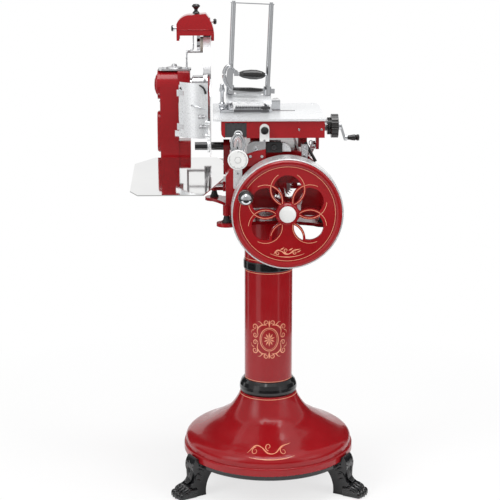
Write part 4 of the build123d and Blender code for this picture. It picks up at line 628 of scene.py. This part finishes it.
def paws():
    """Claws, knuckles and the leaf carved on the front of each leg."""
    for i, name in enumerate(("rear", "left", "right")):
        way = 90.0 + 120.0 * i
        shape = bmesh.new()
        for k in range(4):
            side = (k - 1.5) * PAW_STEP
            tip = PAW_REACH - 13 - 0.25 * abs(side)
            claw = [
                (tip - 4, side, 17),
                (tip + 6, side, 14),
                (tip + 10.5, side, 7),
                (tip + 12, side, 1.2),
            ]
            points = [turned_point(*p, way) for p in claw]
            swept(shape, curve(points, 3), [5.5, 5.2, 5, 4.6, 4.2, 3.7, 3.0, 2.2, 1.4, 0.6])
            bone = [
                (tip - 38, side * 0.9, 31),
                (tip - 24, side, 29),
                (tip - 10, side, 24),
                (tip - 2, side, 16),
            ]
            points = [turned_point(*p, way) for p in bone]
            swept(shape, curve(points, 3), [4, 5.5, 6.8, 7.2, 7.4, 7.2, 7.4, 7.6, 6.6, 5])
        front = PAW_REACH - 61.5
        leaves = ((0, 119, 7.5), (9, 112, 6.5), (-9, 112, 6.5), (17, 101, 5.5), (-17, 101, 5.5))
        for side, top, wide in leaves:
            leaf = [
                (front + 16, side * 0.35, 42),
                (front + 3, side * 0.6, 56),
                (front + 0.5, side * 0.9, 78),
                (front + 1.5, side * 1.15, top - 10),
                (front + 5.5, side * 1.25, top),
            ]
            line = curve([turned_point(*p, way) for p in leaf], 4)
            radii = []
            for n in range(len(line)):
                t = n / (len(line) - 1)
                radii.append(1.5 + (wide - 1.5) * sin(pi * min(1.0, t * 1.08 + 0.06)) ** 0.8)
            swept(shape, line, radii, flat=0.62)
        for side in (-1, 1):
            for n in range(4):
                z = 52 + n * 16
                x = PAW_REACH - 76 - n * 4.0
                tuft = [
                    (x + 14, 23.0 * side, z + 9),
                    (x, 26.5 * side, z + 2),
                    (x - 13, 24.0 * side, z - 6),
                ]
                points = [turned_point(*p, way) for p in tuft]
                swept(shape, curve(points, 3), [1.2, 3.0, 4.4, 4.8, 3.8, 2.2, 0.8], 10, 0.8)
        add_piece("carving_" + name, shape, "frame", "black_iron")


# ======================= screws and small fittings =======================
def plate(shape, points, front, back, edge, face=FRONT):
    """A flat plate from (x, z) points in mm, from Y front to back, with its outer direction."""
    outline = [at(x, front, z) for x, z in points]
    slab(shape, outline, face, abs(back - front), edge)


def crown_pieces():
    """What stands on the front of the casting's crown, between the two rails, with painted shade: a
    black block with a nub where the space under the carriage lies in shade, and a black rod along
    the casting's shaded right edge.
    """
    shape = bmesh.new()
    boss = [(-73.5, 1052), (-73.5, 1089), (-46, 1099), (-16.5, 1104), (-16.5, 1052)]
    plate(shape, boss, FRAME_FRONT - 28.5, FRAME_FRONT + 1, 2.0)
    add_piece("rail_boss", shape, "frame", "red_enamel")

    # painted shade: this black block and the nub on its front fill the shaded space under the
    # carriage
    shape = bmesh.new()
    block = [(-16, 1092), (-16, 1120), (-12, 1124), (28, 1124), (32, 1120), (32, 1092)]
    plate(shape, block, FRAME_FRONT - 24, FRAME_FRONT + 12, 1.6)
    cap = [(9, -0.5), (9, 4), (6.5, 7), (0, 7.5)]
    lathe(shape, cap, (8, FRAME_FRONT - 24, 1108), (0, -1, 0), 24)
    # painted shade: a black rod drawn along the casting's right edge, where that edge lies in shade
    stay_y = FRAME_FRONT - 7.5
    shaded_edge_rod = [(101, 1121), (104, 1112), (116, 1090), (131, 1063)]
    line = curve([at(x, stay_y, z) for x, z in shaded_edge_rod], 6)
    swept(shape, line, [4.6] * len(line), up=(0, 1, 0))
    add_piece("crown_shade_block", shape, "frame", "black_iron")

    shape = bmesh.new()
    arc = [(30, 1094)]
    for i in range(13):
        angle = pi / 2 - pi / 2 * i / 12
        arc.append((32 + 26 * cos(angle), 1094 + 27 * sin(angle)))
    plate(shape, arc, FRAME_FRONT - 18, FRAME_FRONT - 2, 1.2)
    add_piece("crown_guard", shape, "frame", "pale_steel")

    shape = bmesh.new()
    loop = ring_points(117, stay_y, 1118, 5.5, 7, 24)
    swept(shape, loop, [1.5] * len(loop), 8, up=(0, 1, 0))
    add_piece("stay_loop", shape, "frame", "chrome")


def dial_yoke():
    """The polished loop above the dial that its stem hangs from, the stem, and a round foot at each
    end of the loop.
    """
    shape = bmesh.new()
    y, foot_z = BODY_FRONT - 14, 1092
    path = [(-13, foot_z), (-17, 1110), (-16, 1130), (-9, 1144), (0, 1149)]
    path += [(9, 1144), (16, 1130), (17, 1110), (13, foot_z)]
    line = curve([at(DIAL_X + x, y, z) for x, z in path], 5)
    last = len(line) - 1
    radii = [3.4 + 3.0 * sin(pi * i / last) for i in range(last + 1)]
    swept(shape, line, radii, 14, 0.8, (0, 1, 0))
    stem = curve([at(DIAL_X, y, 1100), at(DIAL_X - 1, y - 1, 1118), at(DIAL_X, y, 1134)], 4)
    swept(shape, stem, [3.0, 3.4, 3.8, 4.2, 4.6, 4.2, 3.6, 3.0, 2.4], 12, 0.8, (0, 1, 0))
    for x in (DIAL_X - 13, DIAL_X + 13):
        lathe(shape, [(5, 0), (5, 14)], (x, y, foot_z), (0, 1, 0), 16)
    add_piece("dial_yoke", shape, "frame", "chrome")


def rim_edge():
    """The polished edge round the front of the wheel's rim."""
    shape = bmesh.new()
    r = RIM_R - 1.6
    ring = ring_points(WHEEL_X, RIM_FRONT, WHEEL_Z, r, r, 128)
    swept(shape, ring, [1.5] * len(ring), 10, up=(0, 1, 0))
    add_piece("rim_edge", shape, "wheel", "polished_rim")


def case_block():
    """The square housing over the blade's bearing, in front of and behind its round boss."""
    shape = bmesh.new()
    left, right = -281, -246
    sides = [(left, 1196), (left, 1293), (right, 1293), (-242.4, 1289), (-242.4, 1200)]
    sides.append((right, 1196))
    for y, way in ((BLADE_Y - 45.5, -1), (BLADE_Y + 45.5, 1)):
        plate(shape, sides, y, y - way * 15, 2.0, Vector((0, way, 0)))
    roof = [(left, -44), (left, 44), (right, 44), (-242.6, 40), (-242.6, -40), (right, -44)]
    outline = [at(x, BLADE_Y + y, BLADE_Z + 45.4) for x, y in roof]
    slab(shape, outline, (0, 0, 1), 3.5, 1.2)
    add_piece("case_block", shape, "frame", "red_enamel")


def frame_fittings():
    """Screws of the chain case and the brackets, the rails' nuts and the beads of the hood."""
    spots = []
    nut_y = FRAME_FRONT - 27
    case_x = CASE_LEFT - 6.0
    for y, z in ((-38, 1200), (38, 1200), (-33, 1010), (33, 1010), (-31, 968), (31, 968)):
        spots.append(((case_x, BLADE_Y + y * 0.86, z), (-1, 0, 0), 4.2, 0.6 + y, "slot"))
    for z in (996, 1031):
        spots.append(((DIAL_X, FRAME_FRONT - 25, z), (0, -1, 0), 4.0, 0.4, "slot"))
    for x in (-62, -28):
        spots.append(((x, nut_y, 1082), (0, -1, 0), 5.0, 0.2, "hex"))
    for z in (1062, 1084):
        spots.append(((97.5, nut_y, z), (0, -1, 0), 4.2, 0.1, "slot"))
    for x, y in ((-328, -20), (-328, 20), (-254, -20), (-254, 20)):
        spots.append(((x, BLADE_Y + y, CASE_TOP_Z), (0, 0, 1), 3.6, 0.3 * y, "slot"))
    screws("frame_screws", "frame", spots)

    shape = bmesh.new()
    for x in RAIL_X:
        nut = [(6.5, -0.3), (6.5, 3), (5, 4.2), (0, 4.2)]
        lathe(shape, nut, (x, nut_y, RAIL_Z), (0, -1, 0))
    add_piece("rail_nuts", shape, "frame", "chrome")

    shape = bmesh.new()
    for y in (HOOD_FRONT - 0.4, HOOD_BACK + 0.4):
        along = (HOOD_LEFT + 0.5, -250, -210, HOOD_RIGHT - 2)
        swept(shape, [at(x, y, HOOD_BEAD_Z) for x in along], [1.5] * 4)
    add_piece("hood_beads", shape, "frame", "red_enamel")


def stay_rod():
    """The thin bent rod from the sharpener down to the top of the case."""
    shape = bmesh.new()
    x, y = -252, BLADE_Y - 20
    path = [(x, y, CASE_TOP_Z - 2), (x, y, 1338), (x + 1, y, 1350), (x + 9, y + 1, 1358)]
    path += [(x + 19, y + 3, 1360), (x + 21, y + 6, 1372), (x + 21, y + 6, 1402)]
    path.append((x + 21, y + 6, 1462))
    line = curve([at(*p) for p in path], 5)
    swept(shape, line, [2.0] * len(line), 10)
    foot = [(4.5, 0), (4.5, 3), (3, 5), (0, 5)]
    lathe(shape, foot, (x, y, CASE_TOP_Z - 0.2), (0, 0, 1), 20)
    add_piece("stay_rod", shape, "frame", "chrome")


def dial_marks():
    """The scale of the dial: strokes near its edge, longer every fifth, and the hub's ring."""
    shape = bmesh.new()
    y = DIAL_FRONT - 0.25
    for i in range(50):
        angle = pi / 2 - 2 * pi * i / 60
        inner = DIAL_R - (9.0 if i % 5 == 0 else 6.0)
        line = []
        for r in (inner, DIAL_R - 3.0):
            line.append(at(DIAL_X + r * cos(angle), y, DIAL_Z + r * sin(angle)))
        ribbon(shape, line, [0.7, 0.7], [FRONT, FRONT])
    ring = ring_points(DIAL_X, y, DIAL_Z, 9.0, 9.0, 32)
    ribbon(shape, ring, [0.6] * len(ring), [FRONT] * len(ring))
    add_piece("dial_marks", shape, "dial", "dark_steel")
    edge = bmesh.new()
    for i in range(72):
        angle = 2 * pi * i / 72
        x, z = DIAL_X + DIAL_R * cos(angle), DIAL_Z + DIAL_R * sin(angle)
        line = [at(x, DIAL_FRONT + 2.4, z), at(x, DIAL_FRONT + 6.8, z)]
        swept(edge, line, [0.7, 0.7], 6)
    add_piece("dial_knurl", edge, "dial", "pale_steel")


def knob_ridges(name, body, centre, axis, radius, low, high, count, size):
    """Fine ridges round a knob's grip."""
    shape = bmesh.new()
    up = Vector(axis).normalized()
    across = up.orthogonal().normalized()
    side = up.cross(across)
    for i in range(count):
        angle = 2 * pi * i / count
        out = (across * cos(angle) + side * sin(angle)) * radius / 1000
        base = at(*centre)
        line = [base + out + up * low / 1000, base + out + up * high / 1000]
        swept(shape, line, [size, size], 6)
    add_piece(name, shape, body, "black_grip")


def side_knobs():
    """Black knobs on the ends of the two stone rods of the sharpener."""
    shape = bmesh.new()
    outline = [(0, 0), (7.5, 0.6), (9.4, 3), (9.4, 6), (8.0, 7.2), (8.6, 9.0), (8.6, 9.6), (0, 9.6)]
    lathe(shape, outline, (-300.4, BLADE_Y, 1425), (1, 0, 0), 32)
    add_piece("stone_knob", shape, "stone_slide", "black_grip")
    shape = bmesh.new()
    outline = [(0, 0), (6.5, 0.4), (8.9, 3.2), (8.9, 7), (7.4, 10), (7.4, 10.3), (0, 10.3)]
    lathe(shape, outline, (-157.6, BURR_Y, BURR_Z), (-1, 0, 0), 32)
    add_piece("burr_knob", shape, "burr", "black_grip")


def deflector_y(x):
    """Y of the deflector's front face: the arc through its three named points."""
    t = (x + 186.0) / (-273.0 + 186.0)
    return 22.0 - 20.0 * t + 60.0 * t * t


def deflector_fittings():
    """The screws, the small shields, the black catches and the lever on the deflector."""
    shape = bmesh.new()
    for x, z in ((-207, 1170), (-204, 1139)):
        y = deflector_y(x) - 4
        outline = [(2.2, -9), (4.2, -8), (4.2, 2), (3.0, 3), (3.0, 9), (4.6, 10), (4.6, 13)]
        outline.append((0, 14))
        lathe(shape, outline, (x, y, z), (1, 0, 0), 20)
        lathe(shape, [(1.6, 0), (1.6, 4.5)], (x - 3, y + 4, z), (0, -1, 0), 12)
        corners = ((-9, -6), (8, -6), (8, 6), (-9, 6))
        slab(shape, [at(x + a, y + 2.6, z + b) for a, b in corners], FRONT, 1.4, 0.4)
    add_piece("deflector_screws", shape, "deflector", "grey_cast")

    shape = bmesh.new()
    for z in (1128, 1232):
        corners = ((-282, z - 4), (-262, z - 4), (-262, z + 16), (-282, z + 16))
        slab(shape, [at(x, SHIELD_Y, h) for x, h in corners], FRONT, 1.6, 0.5)
    add_piece("deflector_shields", shape, "deflector", "pale_steel")

    shape = bmesh.new()
    catch = curve([at(-272, 56, 1255), at(-266, 54, 1249), at(-258, 52, 1243)], 4)
    swept(shape, catch, [3.2 - 0.2 * i for i in range(len(catch))], 10)
    path = ((-212, 18, 1266), (-203, 15, 1261), (-196, 14, 1252), (-193, 14, 1240))
    catch = curve([at(*p) for p in path], 4)
    swept(shape, catch, [2.4 + 0.12 * i for i in range(len(catch))], 10)
    add_piece("deflector_catches", shape, "deflector", "black_iron")

    shape = bmesh.new()
    path = ((-236, 4, 1204), (-222, 5, 1201), (-206, 5, 1196), (-196, 4, 1191))
    line = curve([at(x, deflector_y(x) - out, z) for x, out, z in path], 5)
    last = len(line) - 1
    swept(shape, line, [4.2 - 2.0 * i / last for i in range(last + 1)], 12, 0.7)
    pivot = [(3.2, -4.5), (3.2, 2), (2, 3), (0, 3)]
    lathe(shape, pivot, (-229, deflector_y(-229) - 3, 1202), (0, -1, 0), 20)
    add_piece("deflector_lever", shape, "deflector", "chrome")


def gauge_fittings():
    """Screws at the corners of the gauge plate."""
    spots = []
    for y, z in ((-118, 1266), (-20, 1266), (-120, 1088), (20, 1088)):
        spots.append(((GAUGE_RIGHT - 3, y, z), (-1, 0, 0), 4.0, 0.7 + y, "slot"))
    screws("gauge_screws", "gauge", spots)


def carriage_fittings():
    """Screws of the table and the end plate, and the nuts of the rods at the right end."""
    top = BODY_HIGH + TABLE_T
    spots = []
    for x in (-150, 142):
        for y in (-186, 138):
            spots.append(((x, y, top - 1.2), (0, 0, 1), 4.6, 0.5 + x, "slot"))
    for y in (-54, 14):
        spots.append(((BODY_RIGHT + 13, y, 1154), (1, 0, 0), 5.0, 0.2, "hex"))
    spots.append(((BODY_RIGHT + 5, -56, 1174), (1, 0, 0), 3.6, 0.9, "slot"))
    spots.append(((BODY_RIGHT + 5, 16, 1174), (1, 0, 0), 3.6, 0.3, "slot"))
    spots.append(((INDEX_X, BODY_FRONT - 4, 1130), (0, -1, 0), 3.6, 0.9, "slot"))
    for x in (80, 146):
        spots.append(((x, BODY_FRONT, 1162), (0, -1, 0), 3.4, 0.3, "slot"))
    screws("carriage_screws", "carriage", spots)


def recess_plate():
    """The dark plate inside the recess at the left of the carriage's front."""
    shape = bmesh.new()
    points = [(-136.5, 1138.5), (-136.5, 1181), (-72.5, 1181), (-72.5, 1138.5)]
    plate(shape, points, BODY_FRONT + 6.6, BODY_FRONT + 9.6, 0.6)
    for x in (-126, -112, -97, -83):
        rib = [(x - 3, 1139), (x - 3, 1180), (x + 3, 1180), (x + 3, 1139)]
        plate(shape, rib, BODY_FRONT + 3.2, BODY_FRONT + 6.8, 1.2)
    add_piece("recess_plate", shape, "carriage", "dark_steel")


def lever_arch():
    """The polished arch of the clamp's lever, beside its grip."""
    shape = bmesh.new()
    y = SCREW_Y - 48.5
    path = [(-115, 1262), (-124, 1272), (-134, 1290), (-137, 1311), (-131, 1329), (-121, 1334)]
    path += [(-112, 1327), (-105, 1319)]
    line = curve([at(x, y, z) for x, z in path], 5)
    last = len(line) - 1
    radii = [5.4 + 4.2 * sin(pi * min(1.0, i / last * 1.25)) for i in range(last + 1)]
    swept(shape, line, radii, 16, 0.62)
    add_piece("lever_arch", shape, "lever", "chrome")


def clamp_fittings():
    """Toothed bars in front of the clamp's foot, and the long side screw at its left."""
    shape = bmesh.new()
    pitch, root, tip = 6, 7, 12
    for y, low, left, right in ((SCREW_Y - 47, 1195, -108, -2), (SCREW_Y - 36, 1202.5, -104, 2)):
        points = [(left, low), (left, low + root)]
        for i in range(int((right - left) / pitch)):
            x = left + pitch * i
            points += [(x + 1, low + root), (x + 3, low + tip), (x + 5, low + root)]
        points += [(right, low + root), (right, low)]
        slab(shape, [at(x, y, z) for x, z in points], FRONT, 3.2, 0.2)
    add_piece("toothed_bars", shape, "clamp", "dark_steel")

    shape = bmesh.new()
    r = SIDE_SCREW_R
    outline = [(4.5, 0), (r, 1), (r, 17), (7, 20), (5, 22), (5, 52), (8, 54), (8, 62), (6, 66)]
    outline += [(6, 74), (3.5, 77), (0, 77)]
    lathe(shape, outline, (SIDE_SCREW_X, SIDE_SCREW_Y, 1201.3), (0, 0, 1), 28)
    for i in range(28):
        angle = 2 * pi * i / 28
        x, y = SIDE_SCREW_X + r * cos(angle), SIDE_SCREW_Y + r * sin(angle)
        swept(shape, [at(x, y, 1203), at(x, y, 1217)], [0.7, 0.7], 6)
    knob = [(8, 0), (r, 1), (r, 11), (8, 12), (0, 12)]
    lathe(shape, knob, (-122, SCREW_Y - 42, 1208), (1, 0, 0), 24)
    add_piece("side_screw", shape, "clamp", "chrome")


def wheel_flourish():
    """A plain painted scroll under the petals, with a line below it that follows the rim."""
    shape = bmesh.new()

    def stroke(points, widths):
        line = curve([at(WHEEL_X + x, WEB_FRONT - PAINT, WHEEL_Z + z) for x, z in points], 6)
        ribbon(shape, line, widths_along(widths, len(line)), [FRONT] * len(line))

    wave = [(-40, -119), (-30, -108), (-18, -110), (-6, -118), (6, -118), (20, -108), (38, -104)]
    stroke(wave, [1.0, 4.6, 2.4, 4.6, 2.4, 4.4, 0.8])
    for x, z, way in ((-28, -116, 1), (-4, -108, -1), (22, -115, 1)):
        stroke(spiral(x, z, 6.5, 90 * way, 1.1 * way), [2.6, 1.0])
    for x, z in ((-15, -103), (10, -105), (34, -111)):
        stroke([(x - 6, z - 3), (x, z), (x + 6, z + 4)], [0.6, 3.8, 0.6])
    rim = []
    for i in range(9):
        angle = radians(-113 + 46 * i / 8)
        rim.append((128 * cos(angle), 128 * sin(angle)))
    stroke(rim, [0.8, 2.6, 0.8])
    add_piece("wheel_flourish", shape, "wheel", "gold_line")


def base_flourish():
    """A plain painted scroll on the front of the trumpet base."""
    tree = BVHTree.FromObject(frame["nodes"]["base_flare"], bpy.context.evaluated_depsgraph_get())
    shape = bmesh.new()

    def on_base(u, z):
        angle = u / BASE_SCROLL_R
        out = Vector((sin(angle), -cos(angle), 0))
        hit, normal = tree.ray_cast(at(0, 0, z) + out, -out)[:2]
        if normal.dot(out) < 0:
            normal = -normal
        return hit + normal * 0.0003, normal

    def stroke(points, widths):
        flat = curve([(u, z, 0) for u, z in points], 6)
        line, normals = zip(*[on_base(point.x, point.y) for point in flat])
        ribbon(shape, line, widths_along(widths, len(flat)), normals)

    mid = BASE_MARK_Z
    wave = [(-46, -4), (-34, 9), (-20, 7), (-6, -3), (8, -3), (24, 8), (46, 13)]
    stroke([(u, mid + z) for u, z in wave], [1.0, 5.0, 2.6, 5.0, 2.6, 5.0, 0.8])
    for u, z, way in ((-32, mid, 1), (-5, mid + 8, -1), (25, mid, 1)):
        stroke(spiral(u, z, 7.0, 90 * way, 1.1 * way), [2.8, 1.1])
    stroke([(-40, mid - 13), (-10, mid - 16), (20, mid - 15), (44, mid - 10)], [0.8, 2.8, 2.8, 0.8])
    add_piece("base_flourish", shape, "frame", "gold_line")


def wheel_fittings():
    """The ring round the hub's cap, and the screw in the end of the wheel's grip."""
    shape = bmesh.new()
    r = CAP_R
    ring = [(r + 0.6, -0.5), (r + 2.6, -0.5), (r + 2.6, 1.4), (r + 1.6, 2.4), (r + 0.2, 1.6)]
    lathe(shape, ring, (WHEEL_X, WHEEL_FRONT + 2, WHEEL_Z), (0, -1, 0), 64)
    add_piece("cap_ring", shape, "wheel", "red_enamel")
    x, z = HANDLE
    screws("grip_screw", "wheel", [((x, HANDLE_TIP, z), (0, -1, 0), 4.5, 0.5, "slot")])


def blade_fittings():
    """The four screws in the blade's dish."""
    spots = []
    for i in range(4):
        angle = pi / 2 + i * pi / 2
        y, z = BLADE_Y + DISH_SCREWS_R * cos(angle), BLADE_Z + DISH_SCREWS_R * sin(angle)
        spots.append(((DISH_X, y, z), (1, 0, 0), 3.6, 0.4 * i, "slot"))
    screws("blade_screws", "knife", spots)


def post_springs():
    """A coil spring at the foot of each of the clamp's posts."""
    shape = bmesh.new()
    lean = radians(CLAMP_LEAN)
    up = Vector((sin(lean), 0, cos(lean)))
    coils, steps = 6, 96
    for x in (POST_LEFT, POST_RIGHT):
        foot = at(x, SCREW_Y, BODY_HIGH + TABLE_T + 8.3) + up * 0.008
        line = []
        for i in range(steps + 1):
            t = i / steps
            angle = 2 * pi * coils * t
            out = Vector((cos(angle) * cos(lean), sin(angle), -cos(angle) * sin(lean)))
            line.append(foot + up * (0.001 + 0.020 * t) + out * 0.0086)
        swept(shape, line, [1.1] * len(line), 8)
    add_piece("post_springs", shape, "clamp", "bright_steel")


def feed_fittings():
    """The knurling of the feed wheel's flange, and its washer."""
    x = BODY_RIGHT + 21
    knob_ridges("feed_knurl", "feed", (x, SCREW_Y, SCREW_Z), (1, 0, 0), 25, 1, 11, 40, 1.0)
    shape = bmesh.new()
    washer = [(8, 0), (14, 0), (14, 2), (11, 3.5), (8, 3.5)]
    lathe(shape, washer, (x + 33, SCREW_Y, SCREW_Z), (1, 0, 0), 32)
    add_piece("feed_washer", shape, "feed", "chrome")


# ======================= light, floor and background =======================
def floor_material():
    """White paper: it takes the shadow near the machine and is evenly white farther off."""
    material, bsdf = shader("floor")
    bsdf.inputs["Base Color"].default_value = (0.93, 0.93, 0.93, 1)
    bsdf.inputs["Roughness"].default_value = 0.6
    place = node(material, "ShaderNodeTexCoord")
    away = node(material, "ShaderNodeVectorMath", operation="LENGTH")
    link(material, place.outputs["Object"], away.inputs[0])
    share = node(material, "ShaderNodeMapRange")
    for name, value in (("From Min", 0.45), ("From Max", 1.7), ("To Min", 0.72), ("To Max", 1.0)):
        share.inputs[name].default_value = value
    link(material, away.outputs["Value"], share.inputs["Value"])
    path = node(material, "ShaderNodeLightPath")
    seen = node(material, "ShaderNodeMath", operation="MULTIPLY")
    link(material, path.outputs["Is Camera Ray"], seen.inputs[0])
    link(material, share.outputs["Result"], seen.inputs[1])
    white = node(material, "ShaderNodeEmission", Strength=1.0)
    mix = node(material, "ShaderNodeMixShader")
    link(material, seen.outputs[0], mix.inputs[0])
    link(material, bsdf.outputs[0], mix.inputs[1])
    link(material, white.outputs[0], mix.inputs[2])
    output = material.node_tree.nodes["Material Output"]
    link(material, mix.outputs[0], output.inputs["Surface"])
    return material


def card(name, start, end, radius, low, high, strength):
    """An upright curved card round the machine that only reflections see. Degrees from -Y."""
    mesh = bpy.data.meshes.new(name)
    points = []
    for i in range(25):
        angle = radians(start + (end - start) * i / 24)
        for z in (low, high):
            points.append((radius * sin(angle), -radius * cos(angle), z))
    faces = [(2 * i, 2 * i + 1, 2 * i + 3, 2 * i + 2) for i in range(24)]
    mesh.from_pydata(points, [], faces)
    obj = bpy.data.objects.new(name, mesh)
    bpy.context.scene.collection.objects.link(obj)
    material = bpy.data.materials.new(name)
    material.use_nodes = True
    material.node_tree.nodes.clear()
    glow = node(material, "ShaderNodeEmission", Strength=strength)
    output = node(material, "ShaderNodeOutputMaterial")
    link(material, glow.outputs[0], output.inputs["Surface"])
    mesh.materials.append(material)
    obj.visible_camera = False
    obj.visible_diffuse = False
    obj.visible_shadow = False
    obj.visible_transmission = False


def softbox(name, place, target, size, power):
    """A rectangular lamp that looks at its target."""
    data = bpy.data.lights.new(name, "AREA")
    data.shape = "RECTANGLE"
    data.size, data.size_y = size
    data.energy = power
    lamp = bpy.data.objects.new(name, data)
    lamp.location = place
    aim = Vector(target) - Vector(place)
    lamp.rotation_euler = aim.to_track_quat("-Z", "Y").to_euler()
    bpy.context.scene.collection.objects.link(lamp)


def studio():
    """The world, which the camera and metal see as white, the floor, the cards and the lamps."""
    scene = bpy.context.scene
    scene.view_settings.view_transform = "Standard"
    world = bpy.data.worlds.new("world")
    scene.world = world
    world.use_nodes = True
    world.node_tree.nodes.clear()
    path = node(world, "ShaderNodeLightPath")
    seen = node(world, "ShaderNodeMath", operation="MAXIMUM")
    both = node(world, "ShaderNodeMath", operation="MAXIMUM")
    light = node(world, "ShaderNodeBackground", Color=(1, 1, 1, 1), Strength=WORLD_LIGHT)
    white = node(world, "ShaderNodeBackground", Color=(1, 1, 1, 1), Strength=1.0)
    mix = node(world, "ShaderNodeMixShader")
    out = node(world, "ShaderNodeOutputWorld")
    link(world, path.outputs["Is Camera Ray"], seen.inputs[0])
    link(world, path.outputs["Is Glossy Ray"], seen.inputs[1])
    link(world, seen.outputs[0], both.inputs[0])
    link(world, path.outputs["Is Transmission Ray"], both.inputs[1])
    link(world, both.outputs[0], mix.inputs[0])
    link(world, light.outputs[0], mix.inputs[1])
    link(world, white.outputs[0], mix.inputs[2])
    link(world, mix.outputs[0], out.inputs["Surface"])

    floor_mesh = bpy.data.meshes.new("floor")
    half = FLOOR_HALF
    corners = [(-half, -half, 0), (half, -half, 0), (half, half, 0), (-half, half, 0)]
    floor_mesh.from_pydata(corners, [], [(0, 1, 2, 3)])
    floor = bpy.data.objects.new("floor", floor_mesh)
    scene.collection.objects.link(floor)
    floor.location.z = -0.0005
    floor_mesh.materials.append(floor_material())
    for values in CARDS:
        card(*values)
    for values in LAMPS:
        softbox(*values)


set_camera()
dress_nodes()
wheel_lines()
wheel_flourish()
pedestal_lines()
column_ornament()
base_flourish()
paws()
crown_pieces()
dial_yoke()
rim_edge()
case_block()
frame_fittings()
stay_rod()
dial_marks()
top_knob = (HOOD_KNOB_X, BLADE_Y, 0)
knob_ridges("top_ridges", "hood_screw", top_knob, (0, 0, 1), 12, 1492, 1496, 24, 0.8)
index_knob = (INDEX_X, BODY_FRONT - 14, INDEX_Z)
knob_ridges("index_ridges", "index", index_knob, (0, -1, 0), 11, -1, 4.5, 24, 0.7)
side_knobs()
deflector_fittings()
gauge_fittings()
carriage_fittings()
recess_plate()
lever_arch()
clamp_fittings()
wheel_fittings()
blade_fittings()
post_springs()
feed_fittings()
studio()
